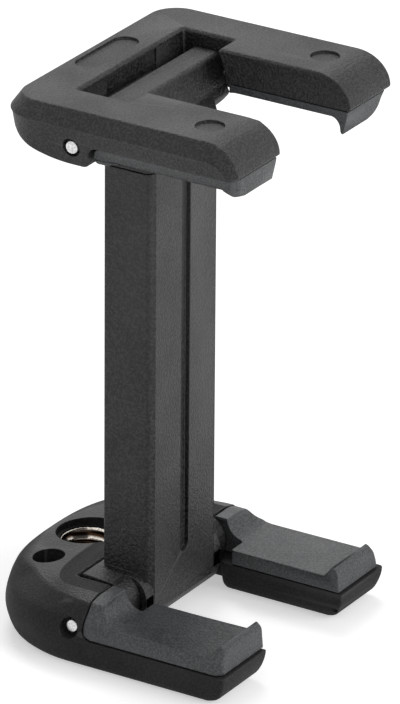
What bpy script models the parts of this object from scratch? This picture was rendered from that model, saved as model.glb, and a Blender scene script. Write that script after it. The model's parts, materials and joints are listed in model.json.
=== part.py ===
"""Sprung phone clamp for a tripod: two padded jaws that hinge on a telescopic column.

X runs across the jaws, the arms point along -Y, and Z runs up the column from the floor.
Every length is in metres; a size in millimetres is written as a number times MM.
The clamp is modelled closed, with both jaws opened square to the column.
"""

import math

import bmesh
import bpy
from mathutils import Matrix, Vector

MM = 0.001

# Grip: the distance between the faces of the pads, closed, and how far it opens
PAD_GAP = 55.0 * MM
TRAVEL = 35.0 * MM

# Running and seating clearances
PAD_SEAM = 0.12 * MM
HINGE_SIDE_GAP = 0.24 * MM
PIN_FIT = 0.10 * MM
SLIDE_FIT = 0.15 * MM
SEAT_FIT = 0.10 * MM

# Hinge pins, both on the same line above each other
PIN_RADIUS = 0.75 * MM
PIN_Y = -1.7 * MM
LOWER_PIN_Z = 4.45 * MM
UPPER_PIN_OVER_PAD = 0.54 * MM

# T-shaped slot of each jaw, in which its knuckle turns
SLOT_OVER_ARM_GAP = 2.58 * MM
SLOT_REAR_REACH = 2.7 * MM
SLOT_FRONT_REACH = 3.8 * MM
SLOT_INNER_ROUND = 0.35 * MM
PAD_SLOT_ROUND = 0.3 * MM
SLOT_RIM = 0.3 * MM

# Lower jaw
LOWER_HALF_WIDTH = 17.05 * MM
LOWER_TIP_Y = -21.6 * MM
LOWER_TIP_ROUND = 0.5 * MM
LOWER_PAD_TIP_ROUND = 1.2 * MM
LOWER_PAD_SIDE_INSET = 0.2 * MM
LOWER_REAR_Y = 12.1 * MM
LOWER_REAR_CURVE_Y = -1.5 * MM
LOWER_REAR_FULLNESS = 2.6
LOWER_SEAM_Z = 3.65 * MM
LOWER_PAD_Z = 5.36 * MM
LOWER_TOP_Z = 7.68 * MM
LOWER_ARM_GAP_CLEARANCE = 1.06 * MM
LOWER_SLOT_OUTER_ROUND = 1.0 * MM
LOWER_SLOT_FLARE = 1.1 * MM
FOOT_SIDE_INSET = 1.0 * MM
FOOT_FRONT_INSET = 2.3 * MM
FOOT_REAR_INSET = 1.7 * MM
FOOT_REAR_FULLNESS = 2.3
FOOT_RISE = 2.2 * MM
FLANK_LEAN = 2.15 * MM
REAR_LEAN = 1.6 * MM
SHOULDER_DROP = 0.48 * MM
SHOULDER_CURVE_Y = -3.8 * MM
SHOULDER_FULLNESS = 2.05
CREASE_FADE_START = 44.0
CREASE_FADE_END = 60.0
PLATEAU_SIDE_INSET = 3.95 * MM
PLATEAU_REAR_Y = 3.9 * MM
PLATEAU_FULLNESS = 4.0

# Lower pads, as a section along Y
LOWER_PAD_REAR_Y = -3.4 * MM
LOWER_PAD_FRONT_Y = -21.2 * MM
LOWER_PAD_HEEL_ROUND = 1.2 * MM
LOWER_PAD_SHOULDER_REACH = 5.5 * MM
HUMP_HEIGHT = 2.24 * MM
HUMP_LENGTH = 1.75 * MM
HUMP_SCOOP = 2.5 * MM
LIP_LENGTH = 2.0 * MM
LIP_HEIGHT = 1.12 * MM
LIP_LEAN = 0.25 * MM
LIP_ROUND = 0.88 * MM

# Tripod bush and the plain hole beside it
BUSH_Y = 6.5 * MM
BUSH_RADIUS = 3.45 * MM
BUSH_NECK_RADIUS = 3.15 * MM
BUSH_NECK_HEIGHT = 0.5 * MM
BUSH_THREAD_RADIUS = 2.65 * MM
BUSH_GROOVE_DEPTH = 0.35 * MM
BUSH_TOP_DEPTH = 1.3 * MM
BUSH_FOOT_RECESS = 0.2 * MM
BUSH_WELL_RADIUS = 3.65 * MM
SIDE_HOLE_X = -7.68 * MM
SIDE_HOLE_Y = 6.76 * MM
SIDE_HOLE_RADIUS = 1.8 * MM

# Column: the sleeve and the slider's cap have the same section
COLUMN_HALF_WIDTH = 6.9 * MM
COLUMN_FRONT_Y = -6.05 * MM
COLUMN_REAR_Y = 0.17 * MM
COLUMN_CHAMFER = 0.75 * MM
COLUMN_WALL = 0.9 * MM
CAP_SEAM = 0.10 * MM
CAP_HEIGHT = 3.6 * MM
GROOVE_HALF_WIDTH = 0.87 * MM
GROOVE_DEPTH = 0.6 * MM
GROOVE_FOOT_Z = 8.2 * MM
CAVITY_FLOOR_Z = 7.3 * MM

# Knuckles, as reaches from their pins
KNUCKLE_REAR_REACH = 2.44 * MM
KNUCKLE_BOTTOM_REACH = 2.55 * MM
KNUCKLE_HEEL_RADIUS = 2.6 * MM
LOWER_WEB_TOE_RADIUS = 4.37 * MM
LOWER_WEB_FRONT_REACH = 4.3 * MM
LOWER_BARREL_RADIUS = 3.35 * MM
LOWER_KNUCKLE_TOP_REACH = 3.42 * MM
LOWER_KNUCKLE_TOP_FALL = 0.32 * MM
LOWER_WEB_SIDE_GAP = 0.2 * MM
CROWN_ROUND = 2.4 * MM
UPPER_KNUCKLE_TOP_REACH = 2.5 * MM
UPPER_KNUCKLE_FRONT_REACH = 2.94 * MM
UPPER_KNUCKLE_SHOULDER_REACH = 3.45 * MM
UPPER_KNUCKLE_UNDER_REACH = 1.93 * MM
UPPER_KNUCKLE_SHOULDER_HEIGHT = 1.0 * MM
UPPER_KNUCKLE_GUSSET_DROP = 0.65 * MM

# Friction washers at the knuckles' ends
WASHER_RADIUS = 1.5 * MM
WASHER_BORE_RADIUS = 0.9 * MM
WASHER_THICKNESS = 0.62 * MM
WASHER_RECESS = 0.7 * MM

# Upper jaw
UPPER_TOP_OVER_PAD = 4.74 * MM
UPPER_SEAM_OVER_PAD = 0.99 * MM
UPPER_BASE_UNDER_PAD = 1.56 * MM
UPPER_BAND_HEIGHT = 1.7 * MM
UPPER_BAND_WIDTH = 1.3 * MM
UPPER_HALF_WIDTH = 17.0 * MM
UPPER_SEAM_SIDE_INSET = 0.65 * MM
UPPER_BASE_SIDE_INSET = 1.1 * MM
UPPER_TIP_Y = -22.15 * MM
UPPER_TIP_ROUND = 4.25 * MM
UPPER_TIP_EDGE = 0.25 * MM
UPPER_REAR_Y = 7.5 * MM
UPPER_REAR_ROUND = 4.3 * MM
UPPER_BAND_STEP = 0.25 * MM
UPPER_REAR_UNDERCUT = 9.0 * MM
UPPER_ARM_GAP_CLEARANCE = 0.3 * MM
UPPER_SLOT_REACH = 3.55 * MM
UPPER_SLOT_LEAN = 1.5 * MM
UPPER_BASE_FRONT_Y = -3.75 * MM
UPPER_BASE_ROUND = 0.8 * MM

# Upper pads, as a section along Y
UPPER_PAD_REAR_Y = -4.0 * MM
UPPER_PAD_TIP_INSET = 0.35 * MM
UPPER_PAD_SIDE_INSET = 0.1 * MM
UPPER_PAD_OUTER_INSET = 0.3 * MM
UPPER_PAD_FALL = 0.052
UPPER_HUMP_HEIGHT = 0.95 * MM
UPPER_HUMP_LENGTH = 1.8 * MM
UPPER_HUMP_SCOOP = 2.2 * MM
UPPER_LIP_HEIGHT = 1.75 * MM
UPPER_LIP_LENGTH = 2.2 * MM
UPPER_LIP_LEAN = 0.65 * MM
UPPER_LIP_ROUND = 0.35 * MM
UPPER_LIP_CORNER = 1.8 * MM
UPPER_PAD_FRONT_ROUND = 1.4 * MM
UPPER_PAD_HEEL_ROUND = 1.0 * MM

# Shallow recesses of the upper jaw
RECESS_DEPTH = 0.3 * MM
DISC_SIDE_INSET = 5.24 * MM
DISC_Y = -16.28 * MM
DISC_RADIUS = 1.6 * MM
BADGE_Y = 4.15 * MM
BADGE_HALF_LENGTH = 5.1 * MM
BADGE_HALF_WIDTH = 1.5 * MM
REAR_PANEL_HALF_WIDTH = 5.0 * MM
REAR_PANEL_HEIGHT = 2.6 * MM
REAR_PANEL_DROP = 0.5 * MM

# Pins and their end holes
LOWER_PIN_RECESS = 0.6 * MM
LOWER_PIN_HOLE_RADIUS = 1.15 * MM
UPPER_PIN_HOLE_RADIUS = 1.05 * MM
PIN_HOLE_DEPTH = 0.8 * MM

# Slider rail, its foot and the guide in the sleeve's mouth
RAIL_HALF_WIDTH = 5.1 * MM
RAIL_FRONT_Y = -4.4 * MM
RAIL_REAR_Y = -1.48 * MM
RAIL_WALL = 0.55 * MM
RAIL_LIP = 0.8 * MM
RAIL_FOOT_Z = 9.7 * MM
RAIL_SOCKET_DEPTH = 4.3 * MM
GUIDE_HEIGHT = 2.9 * MM
GUIDE_SINK = 0.25 * MM

# Springs and the bars that they hook on
SPRING_X = 2.4 * MM
SPRING_Y = -2.55 * MM
SPRING_RADIUS = 0.9 * MM
SPRING_WIRE_RADIUS = 0.2 * MM
SPRING_TURNS = 17
SPRING_HOOK_GAP = 0.12 * MM
SPRING_NECK = 1.3 * MM
BAR_RADIUS = 0.5 * MM
BAR_FIT = 0.06 * MM
LOWER_BAR_Z = 8.6 * MM
UPPER_BAR_OVER_SEAM = 2.0 * MM
BAR_SEAT = 0.45 * MM

# Widths that follow from the column, which folds down between the arms
LOWER_ARM_GAP_HALF = COLUMN_HALF_WIDTH + LOWER_ARM_GAP_CLEARANCE
UPPER_ARM_GAP_HALF = COLUMN_HALF_WIDTH + UPPER_ARM_GAP_CLEARANCE
SLOT_HALF = LOWER_ARM_GAP_HALF + SLOT_OVER_ARM_GAP

# Levels that follow from the grip and the sizes above
UPPER_PAD_Z = LOWER_PAD_Z + PAD_GAP
UPPER_PIN_Z = UPPER_PAD_Z + UPPER_PIN_OVER_PAD
UPPER_TOP_Z = UPPER_PAD_Z + UPPER_TOP_OVER_PAD
UPPER_SEAM_Z = UPPER_PAD_Z + UPPER_SEAM_OVER_PAD
UPPER_BASE_Z = UPPER_PAD_Z - UPPER_BASE_UNDER_PAD
UPPER_BAND_Z = UPPER_TOP_Z - UPPER_BAND_HEIGHT
UPPER_SEAM_HALF_WIDTH = UPPER_HALF_WIDTH - UPPER_SEAM_SIDE_INSET
UPPER_BASE_HALF_WIDTH = UPPER_HALF_WIDTH - UPPER_BASE_SIDE_INSET
KNUCKLE_HALF = SLOT_HALF - HINGE_SIDE_GAP
SLOT_REAR_Y = PIN_Y + SLOT_REAR_REACH
UNDER_HEAD_Z = UPPER_PIN_Z - UPPER_KNUCKLE_UNDER_REACH
SLEEVE_TOP_Z = UNDER_HEAD_Z - CAP_HEIGHT - CAP_SEAM
CAVITY_HALF = COLUMN_HALF_WIDTH - COLUMN_WALL
CAVITY_FRONT_Y = COLUMN_FRONT_Y + COLUMN_WALL
CAVITY_REAR_Y = COLUMN_REAR_Y - COLUMN_WALL
GUIDE_TOP_Z = SLEEVE_TOP_Z - GUIDE_SINK
GUIDE_FOOT_Z = GUIDE_TOP_Z - GUIDE_HEIGHT
UPPER_BAR_Z = SLEEVE_TOP_Z + UPPER_BAR_OVER_SEAM
SHOULDER_Z = LOWER_TOP_Z - SHOULDER_DROP
FRONT_Y = min(LOWER_TIP_Y, UPPER_TIP_Y)
ORIGIN_SHIFT_Y = -(LOWER_REAR_Y + FRONT_Y) / 2

# How far a cutter runs past the face that it cuts
PAST = 2.0 * MM
WIDE = 40.0 * MM

ROUND_STEPS = 24
SMALL_ROUND_STEPS = 16
REAR_STEPS = 28
WELD = 0.002 * MM


def make_collection(name):
    collection = bpy.data.collections.new(name)
    bpy.context.scene.collection.children.link(collection)
    return collection


def link(obj, collection):
    for holder in list(obj.users_collection):
        holder.objects.unlink(obj)
    collection.objects.link(obj)
    return obj


def rounded(corners):
    """Closed outline through corners (u, v, radius, steps), each turned by an arc of its radius."""
    outline = []
    for index, (u, v, radius, steps) in enumerate(corners):
        corner = Vector((u, v))
        if radius == 0:
            outline.append((u, v))
            continue
        before = (Vector(corners[index - 1][:2]) - corner).normalized()
        after = (Vector(corners[(index + 1) % len(corners)][:2]) - corner).normalized()
        half = before.angle(after) / 2
        centre = corner + (before + after).normalized() * (radius / math.sin(half))
        start = corner + before * (radius / math.tan(half)) - centre
        end = corner + after * (radius / math.tan(half)) - centre
        first = math.atan2(start.y, start.x)
        turn = math.atan2(start.cross(end), start.dot(end))
        for step in range(steps + 1):
            angle = first + turn * step / steps
            outline.append((centre.x + radius * math.cos(angle), centre.y + radius * math.sin(angle)))
    return outline


def arc(centre, radii, start, end, steps):
    """Points of an elliptic arc from one angle to another, in degrees."""
    points = []
    for step in range(steps + 1):
        angle = math.radians(start + (end - start) * step / steps)
        points.append((centre[0] + radii[0] * math.cos(angle), centre[1] + radii[1] * math.sin(angle)))
    return points


def plain(points):
    """Points as corners that are not rounded."""
    return [(u, v, 0, 0) for u, v in points]


def finish_mesh(shape, name, matrix=None):
    if matrix is not None:
        bmesh.ops.transform(shape, matrix=matrix, verts=shape.verts)
    bmesh.ops.recalc_face_normals(shape, faces=shape.faces)
    mesh = bpy.data.meshes.new(name)
    shape.to_mesh(mesh)
    shape.free()
    obj = bpy.data.objects.new(name, mesh)
    bpy.context.scene.collection.objects.link(obj)
    return obj


def curve_to_mesh(holder, name):
    """Turn a filled or bevelled curve into a welded mesh object in the same place."""
    graph = bpy.context.evaluated_depsgraph_get()
    mesh = bpy.data.meshes.new_from_object(holder.evaluated_get(graph))
    mesh.name = name
    shape = bmesh.new()
    shape.from_mesh(mesh)
    bmesh.ops.remove_doubles(shape, verts=shape.verts, dist=WELD)
    bmesh.ops.recalc_face_normals(shape, faces=shape.faces)
    shape.to_mesh(mesh)
    shape.free()
    obj = bpy.data.objects.new(name, mesh)
    obj.matrix_world = holder.matrix_world
    bpy.context.scene.collection.objects.link(obj)
    bpy.data.objects.remove(holder)
    return obj


def prism(name, outline, low, high, axis):
    """Flat outline extruded from low to high along an axis.

    The outline is (x, y) along Z, (y, z) along X and (x, z) along Y.
    """
    curve = bpy.data.curves.new(name, 'CURVE')
    curve.dimensions = '2D'
    curve.fill_mode = 'BOTH'
    curve.extrude = (high - low) / 2
    spline = curve.splines.new('POLY')
    spline.points.add(len(outline) - 1)
    for point, (u, v) in zip(spline.points, outline):
        point.co = (u, v, 0.0, 1.0)
    spline.use_cyclic_u = True
    holder = bpy.data.objects.new(name + "_line", curve)
    bpy.context.scene.collection.objects.link(holder)
    middle = (low + high) / 2
    if axis == 'Z':
        holder.location = (0.0, 0.0, middle)
    elif axis == 'X':
        holder.rotation_euler = (math.pi / 2, 0.0, math.pi / 2)
        holder.location = (middle, 0.0, 0.0)
    else:
        holder.rotation_euler = (math.pi / 2, 0.0, 0.0)
        holder.location = (0.0, middle, 0.0)
    bpy.context.view_layer.update()
    return curve_to_mesh(holder, name)


def loft(name, rings):
    """Closed solid skinned over rings of points, which all have as many points as the first."""
    shape = bmesh.new()
    loops = [[shape.verts.new(point) for point in ring] for ring in rings]
    for lower, upper in zip(loops, loops[1:]):
        for index in range(len(lower)):
            following = (index + 1) % len(lower)
            shape.faces.new((lower[index], lower[following], upper[following], upper[index]))
    shape.faces.new(loops[0])
    shape.faces.new(loops[-1])
    return finish_mesh(shape, name)


def rod(name, radius, start, end, steps=ROUND_STEPS):
    """Round bar from one point to another."""
    start = Vector(start)
    end = Vector(end)
    along = end - start
    shape = bmesh.new()
    bmesh.ops.create_cone(
        shape, cap_ends=True, segments=steps, radius1=radius, radius2=radius, depth=along.length
    )
    turn = Vector((0.0, 0.0, 1.0)).rotation_difference(along).to_matrix().to_4x4()
    return finish_mesh(shape, name, Matrix.Translation((start + end) / 2) @ turn)


def cross_rod(name, radius, x_start, x_end, y, z, steps=ROUND_STEPS):
    return rod(name, radius, (x_start, y, z), (x_end, y, z), steps)


def box(name, low, high):
    shape = bmesh.new()
    bmesh.ops.create_cube(shape, size=1.0)
    size = Vector(high) - Vector(low)
    middle = (Vector(high) + Vector(low)) / 2
    return finish_mesh(shape, name, Matrix.Translation(middle) @ Matrix.Diagonal((*size, 1.0)))


def turned(name, profile, steps):
    """Ring turned about Z from a closed profile of (radius, height), given outside downward."""
    shape = bmesh.new()
    loop = [shape.verts.new((radius, 0.0, height)) for radius, height in profile]
    for index, vertex in enumerate(loop):
        shape.edges.new((vertex, loop[(index + 1) % len(loop)]))
    mesh = bpy.data.meshes.new(name)
    shape.to_mesh(mesh)
    shape.free()
    obj = bpy.data.objects.new(name, mesh)
    bpy.context.scene.collection.objects.link(obj)
    screw = obj.modifiers.new("turn", 'SCREW')
    screw.axis = 'Z'
    screw.angle = math.tau
    screw.steps = steps
    screw.render_steps = steps
    screw.use_merge_vertices = True
    screw.merge_threshold = WELD
    return obj


def combine(body, tool, operation):
    """Boolean that stays on the body; its tool goes with the body, in the cutters' collection."""
    modifier = body.modifiers.new(tool.name, 'BOOLEAN')
    modifier.operation = operation
    modifier.solver = 'EXACT'
    modifier.object = tool
    tool.hide_render = True
    tool.display_type = 'WIRE'
    tool.parent = body
    tool.matrix_parent_inverse = body.matrix_world.inverted()
    link(tool, bpy.data.collections["cutters"])
    return body


def cut(body, *tools):
    for tool in tools:
        combine(body, tool, 'DIFFERENCE')
    return body


def join(body, *tools):
    for tool in tools:
        combine(body, tool, 'UNION')
    return body


def trim(body, *tools):
    for tool in tools:
        combine(body, tool, 'INTERSECT')
    return body


def plan_ring(half_width, front_y, rear_y, front_round, rear_round, z):
    """Horizontal outline of a jaw at one level: rounded in front and behind."""
    outline = rounded([
        (-half_width, front_y, front_round, 5),
        (half_width, front_y, front_round, 5),
        (half_width, rear_y, rear_round, 14),
        (-half_width, rear_y, rear_round, 14),
    ])
    return [(x, y, z) for x, y in outline]


def lower_ring(half_width, front_y, rear_y, curve_y, fullness, tip_round, z):
    """Level outline of the lower jaw: nearly square in front, one full curve round its rear."""
    outline = rounded([
        (-half_width, curve_y, 0, 0),
        (-half_width, front_y, tip_round, 4),
        (half_width, front_y, tip_round, 4),
        (half_width, curve_y, 0, 0),
    ])
    for step in range(1, REAR_STEPS):
        angle = math.pi * step / REAR_STEPS
        across = abs(math.cos(angle)) ** (2 / fullness)
        back = math.sin(angle) ** (2 / fullness)
        outline.append((math.copysign(across, math.cos(angle)) * half_width,
                        curve_y + (rear_y - curve_y) * back))
    return [(x, y, z) for x, y in outline]


def faded(flank_ring, back_ring):
    """Outline that follows one ring along the flanks and passes into the other round the rear."""
    straight = len(flank_ring) - (REAR_STEPS - 1)
    ring = []
    for index, (flank, back) in enumerate(zip(flank_ring, back_ring)):
        turn = 180.0 * max(index - straight + 1, 0) / REAR_STEPS
        share = (min(turn, 180.0 - turn) - CREASE_FADE_START) / (CREASE_FADE_END - CREASE_FADE_START)
        ring.append(tuple(Vector(flank).lerp(Vector(back), min(max(share, 0.0), 1.0))))
    return ring


def lower_form(name, inset, tip, tip_round):
    """Outer form of the lower jaw: rounded foot, full sides, creased shoulder and a flat plateau."""
    half, rear = LOWER_HALF_WIDTH - inset, LOWER_REAR_Y
    curve_y, fullness = LOWER_REAR_CURVE_Y, LOWER_REAR_FULLNESS
    rise = SHOULDER_Z - LOWER_PAD_Z

    def leaning(side_share, rear_share, curve_share, full_share, height_share):
        return lower_ring(
            half - FLANK_LEAN * side_share, tip, rear - REAR_LEAN * rear_share,
            curve_y + (SHOULDER_CURVE_Y - curve_y) * curve_share,
            fullness + (SHOULDER_FULLNESS - fullness) * full_share, tip_round,
            LOWER_PAD_Z + rise * height_share,
        )

    rings = []
    for share, height in ((1.0, 0.0), (0.42, 0.33), (0.1, 1.0), (0.0, LOWER_SEAM_Z / FOOT_RISE)):
        rings.append(lower_ring(half - FOOT_SIDE_INSET * share, tip + FOOT_FRONT_INSET * share,
                                rear - FOOT_REAR_INSET * share, curve_y,
                                fullness + (FOOT_REAR_FULLNESS - fullness) * share, tip_round,
                                FOOT_RISE * height))
    rings.append(leaning(0.26, 0.15, 0.0, 0.0, 0.0))
    rings.append(faded(leaning(0.58, 0.36, 0.48, 0.55, 0.457), leaning(0.605, 0.27, 0.0, 0.0, 0.457)))
    rings.append(faded(leaning(0.83, 0.71, 0.91, 0.91, 0.82), leaning(0.88, 0.54, 0.0, 0.0, 0.82)))
    rings.append(leaning(1.0, 1.0, 1.0, 1.0, 1.0))
    rings.append(lower_ring(half - PLATEAU_SIDE_INSET, tip, PLATEAU_REAR_Y, curve_y, PLATEAU_FULLNESS,
                            tip_round, LOWER_TOP_Z))
    return loft(name, rings)


def slot_ring(gap_half, shoulder_reach, outer_round, spread, flare, z):
    """T-shaped outline of a jaw's slot, spread outward by a margin, with its mouth flared."""
    wide = SLOT_HALF + spread + flare * 0.6
    narrow = gap_half + spread + flare
    rear = SLOT_REAR_Y + spread
    shoulder = PIN_Y - shoulder_reach - spread
    outline = rounded([
        (-wide, rear, SLOT_INNER_ROUND, 3),
        (-wide, shoulder, SLOT_INNER_ROUND, 3),
        (-narrow, shoulder, outer_round, 3),
        (-narrow, -WIDE, 0, 0),
        (narrow, -WIDE, 0, 0),
        (narrow, shoulder, outer_round, 3),
        (wide, shoulder, SLOT_INNER_ROUND, 3),
        (wide, rear, SLOT_INNER_ROUND, 3),
    ])
    return [(x, y, z) for x, y in outline]


def slot_cutter(name, gap_half, outer_round, levels):
    """Cutter of a T slot from levels of (shoulder reach, spread, flare, height), upward."""
    return loft(name, [
        slot_ring(gap_half, reach, outer_round, spread, flare, z) for reach, spread, flare, z in levels
    ])


def slot_rim(reach, top_z):
    """Levels of a slot's chamfered upper rim."""
    return [(reach, 0.0, 0.0, top_z - SLOT_RIM), (reach, SLOT_RIM + PAST, 0.0, top_z + PAST)]


def lower_slot_levels():
    """Levels of the lower jaw's slot, which is flared at its rounded foot."""
    reach, flare = SLOT_FRONT_REACH, LOWER_SLOT_FLARE
    return [
        (reach, 0.0, flare, -PAST),
        (reach, 0.0, flare, 0.0),
        (reach, 0.0, flare * 0.42, FOOT_RISE * 0.33),
        (reach, 0.0, flare * 0.1, FOOT_RISE),
        (reach, 0.0, 0.0, FOOT_RISE * 1.5),
    ] + slot_rim(reach, LOWER_TOP_Z)


def upper_slot_levels():
    """Levels of the upper jaw's slot, whose shoulders lean forward from the top down to the pads."""
    lean = UPPER_SLOT_LEAN
    reach = UPPER_SLOT_REACH
    rim_share = SLOT_RIM / (UPPER_TOP_Z - UPPER_SEAM_Z)
    return [
        (reach + lean, 0.0, 0.0, UPPER_BASE_Z - PAST),
        (reach + lean, 0.0, 0.0, UPPER_SEAM_Z),
        (reach + lean * rim_share, 0.0, 0.0, UPPER_TOP_Z - SLOT_RIM),
        (reach, SLOT_RIM + PAST, 0.0, UPPER_TOP_Z + PAST),
    ]


def pad_slot_levels(reach, foot_z, top_z):
    return [(reach, 0.0, 0.0, foot_z - PAST), (reach, 0.0, 0.0, top_z + PAST)]


def make_bottom_jaw_body():
    body = lower_form("bottom_jaw_body", 0.0, LOWER_TIP_Y, LOWER_TIP_ROUND)
    seat_z = LOWER_SEAM_Z - PAD_SEAM
    seat_rear = LOWER_PAD_REAR_Y + PAD_SEAM
    high = LOWER_TOP_Z + PAST
    seat = prism("lower_pad_seats", rounded([
        (seat_rear, high, 0, 0),
        (-WIDE, high, 0, 0),
        (-WIDE, seat_z, 0, 0),
        (seat_rear, seat_z, LOWER_PAD_HEEL_ROUND + PAD_SEAM, 5),
    ]), -WIDE, WIDE, 'X')
    slot = slot_cutter("lower_slot", LOWER_ARM_GAP_HALF, LOWER_SLOT_OUTER_ROUND, lower_slot_levels())
    bush_top = LOWER_TOP_Z - BUSH_TOP_DEPTH
    ledge = bush_top - BUSH_NECK_HEIGHT
    bush_bore = rod("bush_bore", BUSH_RADIUS + SEAT_FIT, (0, BUSH_Y, -PAST), (0, BUSH_Y, ledge + SEAT_FIT))
    bush_neck = rod("bush_neck_hole", BUSH_NECK_RADIUS + SEAT_FIT, (0, BUSH_Y, 0), (0, BUSH_Y, high))
    bush_well = rod("bush_well", BUSH_WELL_RADIUS, (0, BUSH_Y, bush_top + SEAT_FIT), (0, BUSH_Y, high), 32)
    side_hole = rod("side_hole", SIDE_HOLE_RADIUS, (SIDE_HOLE_X, SIDE_HOLE_Y, -PAST),
                    (SIDE_HOLE_X, SIDE_HOLE_Y, high))
    pin_bore = cross_rod("lower_jaw_pin_bore", PIN_RADIUS + PIN_FIT, -WIDE, WIDE, PIN_Y, LOWER_PIN_Z,
                         SMALL_ROUND_STEPS)
    cut(body, seat, slot, bush_bore, bush_neck, bush_well, side_hole, pin_bore)
    inner_end = lower_pin_half() - PIN_HOLE_DEPTH / 2
    for side, sign in (("left", -1), ("right", 1)):
        cut(body, cross_rod("lower_pin_recess_" + side, LOWER_PIN_HOLE_RADIUS, sign * inner_end,
                            sign * WIDE, PIN_Y, LOWER_PIN_Z, SMALL_ROUND_STEPS))
    return body


def lower_pin_half():
    """Half the lower pin's length: it ends inside its holes."""
    return LOWER_HALF_WIDTH - FLANK_LEAN * 0.12 - LOWER_PIN_RECESS


def upper_pin_half():
    """Half the upper pin's length: its ends are flush with the jaw's sides."""
    rise = (UPPER_PIN_Z - UPPER_BASE_Z) / (UPPER_SEAM_Z - UPPER_BASE_Z)
    return UPPER_BASE_HALF_WIDTH + (UPPER_SEAM_HALF_WIDTH - UPPER_BASE_HALF_WIDTH) * rise


def make_bottom_pad(side, sign):
    """Rubber pad on a lower arm: hump against the knuckle, flat grip face and upturned lip."""
    rear = LOWER_PAD_REAR_Y
    front = LOWER_PAD_FRONT_Y
    crest_z = LOWER_PAD_Z + HUMP_HEIGHT
    scoop_start = rear - HUMP_LENGTH
    lip_foot = front + LIP_LENGTH
    lip_z = LOWER_PAD_Z + LIP_HEIGHT
    section = rounded([
        (front + LIP_LEAN, lip_z, LIP_ROUND, 5),
        (front, LOWER_SEAM_Z, 0, 0),
        (rear, LOWER_SEAM_Z, LOWER_PAD_HEEL_ROUND, 5),
        (rear, crest_z, 0.3 * MM, 3),
        (scoop_start, crest_z, 0, 0),
    ])
    section += arc((scoop_start - HUMP_SCOOP, crest_z), (HUMP_SCOOP, HUMP_HEIGHT), -9, -90, 7)
    section.append((lip_foot, LOWER_PAD_Z))
    pad = lower_form("bottom_pad_" + side, LOWER_PAD_SIDE_INSET, front - 0.05 * MM, LOWER_PAD_TIP_ROUND)
    block = prism("lower_pad_section_" + side, section, 0.0, WIDE, 'X')
    if sign < 0:
        block.location.x -= WIDE
    slot = slot_cutter("lower_pad_slot_" + side, LOWER_ARM_GAP_HALF, PAD_SLOT_ROUND,
                       pad_slot_levels(LOWER_PAD_SHOULDER_REACH, 0.0, LOWER_TOP_Z))
    return cut(trim(pad, block), slot)


def make_thread_insert():
    """Turned bush with two grooves that lock it in the jaw, a neck and a countersunk bore."""
    top = LOWER_TOP_Z - BUSH_TOP_DEPTH
    ledge = top - BUSH_NECK_HEIGHT
    foot = BUSH_FOOT_RECESS
    band = (ledge - foot) / 5
    countersink = BUSH_NECK_RADIUS - BUSH_THREAD_RADIUS - 0.1 * MM
    groove = BUSH_RADIUS - BUSH_GROOVE_DEPTH
    profile = [
        (BUSH_NECK_RADIUS, top),
        (BUSH_NECK_RADIUS, ledge),
        (BUSH_RADIUS, ledge),
        (BUSH_RADIUS, ledge - band),
        (groove, ledge - band),
        (groove, ledge - 2 * band),
        (BUSH_RADIUS, ledge - 2 * band),
        (BUSH_RADIUS, ledge - 3 * band),
        (groove, ledge - 3 * band),
        (groove, ledge - 4 * band),
        (BUSH_RADIUS, ledge - 4 * band),
        (BUSH_RADIUS, foot),
        (BUSH_THREAD_RADIUS + countersink, foot),
        (BUSH_THREAD_RADIUS, foot + countersink),
        (BUSH_THREAD_RADIUS, top - countersink),
        (BUSH_THREAD_RADIUS + countersink, top),
    ]
    bush = turned("thread_insert", profile, ROUND_STEPS)
    bush.location = (0.0, BUSH_Y, 0.0)
    return bush


def make_washer(name, sign, z):
    """Friction washer between a knuckle's recessed end and the wall of the slot."""
    inner = KNUCKLE_HALF - WASHER_RECESS + SEAT_FIT
    outer = inner + WASHER_THICKNESS
    washer = turned(name, [
        (WASHER_RADIUS, outer),
        (WASHER_RADIUS, inner),
        (WASHER_BORE_RADIUS, inner),
        (WASHER_BORE_RADIUS, outer),
    ], SMALL_ROUND_STEPS)
    washer.rotation_euler = (0.0, sign * math.pi / 2, 0.0)
    washer.location = (0.0, PIN_Y, z)
    return washer


def column_outline():
    return rounded([
        (-COLUMN_HALF_WIDTH, COLUMN_REAR_Y, 0.3 * MM, 2),
        (-COLUMN_HALF_WIDTH, COLUMN_FRONT_Y + COLUMN_CHAMFER, 0, 0),
        (-COLUMN_HALF_WIDTH + COLUMN_CHAMFER, COLUMN_FRONT_Y, 0, 0),
        (COLUMN_HALF_WIDTH - COLUMN_CHAMFER, COLUMN_FRONT_Y, 0, 0),
        (COLUMN_HALF_WIDTH, COLUMN_FRONT_Y + COLUMN_CHAMFER, 0, 0),
        (COLUMN_HALF_WIDTH, COLUMN_REAR_Y, 0.3 * MM, 2),
    ])


def rectangle(half_width, front_y, rear_y):
    return [(-half_width, front_y), (half_width, front_y), (half_width, rear_y), (-half_width, rear_y)]


def swept_foot(front_reach, toe_radius):
    """Lower edge of a side section that must turn about the lower pin: toe arc, flat, heel arc."""
    centre = (PIN_Y, LOWER_PIN_Z)
    bottom = KNUCKLE_BOTTOM_REACH
    toe_start = 180 + math.degrees(math.acos(front_reach / toe_radius))
    toe_end = 180 + math.degrees(math.asin(bottom / toe_radius))
    heel_start = -math.degrees(math.asin(bottom / KNUCKLE_HEEL_RADIUS))
    heel_end = -math.degrees(math.acos(KNUCKLE_REAR_REACH / KNUCKLE_HEEL_RADIUS))
    toe = arc(centre, (toe_radius, toe_radius), toe_start, toe_end, 6)
    heel = arc(centre, (KNUCKLE_HEEL_RADIUS, KNUCKLE_HEEL_RADIUS), heel_start, heel_end, 4)
    return toe + heel


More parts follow.
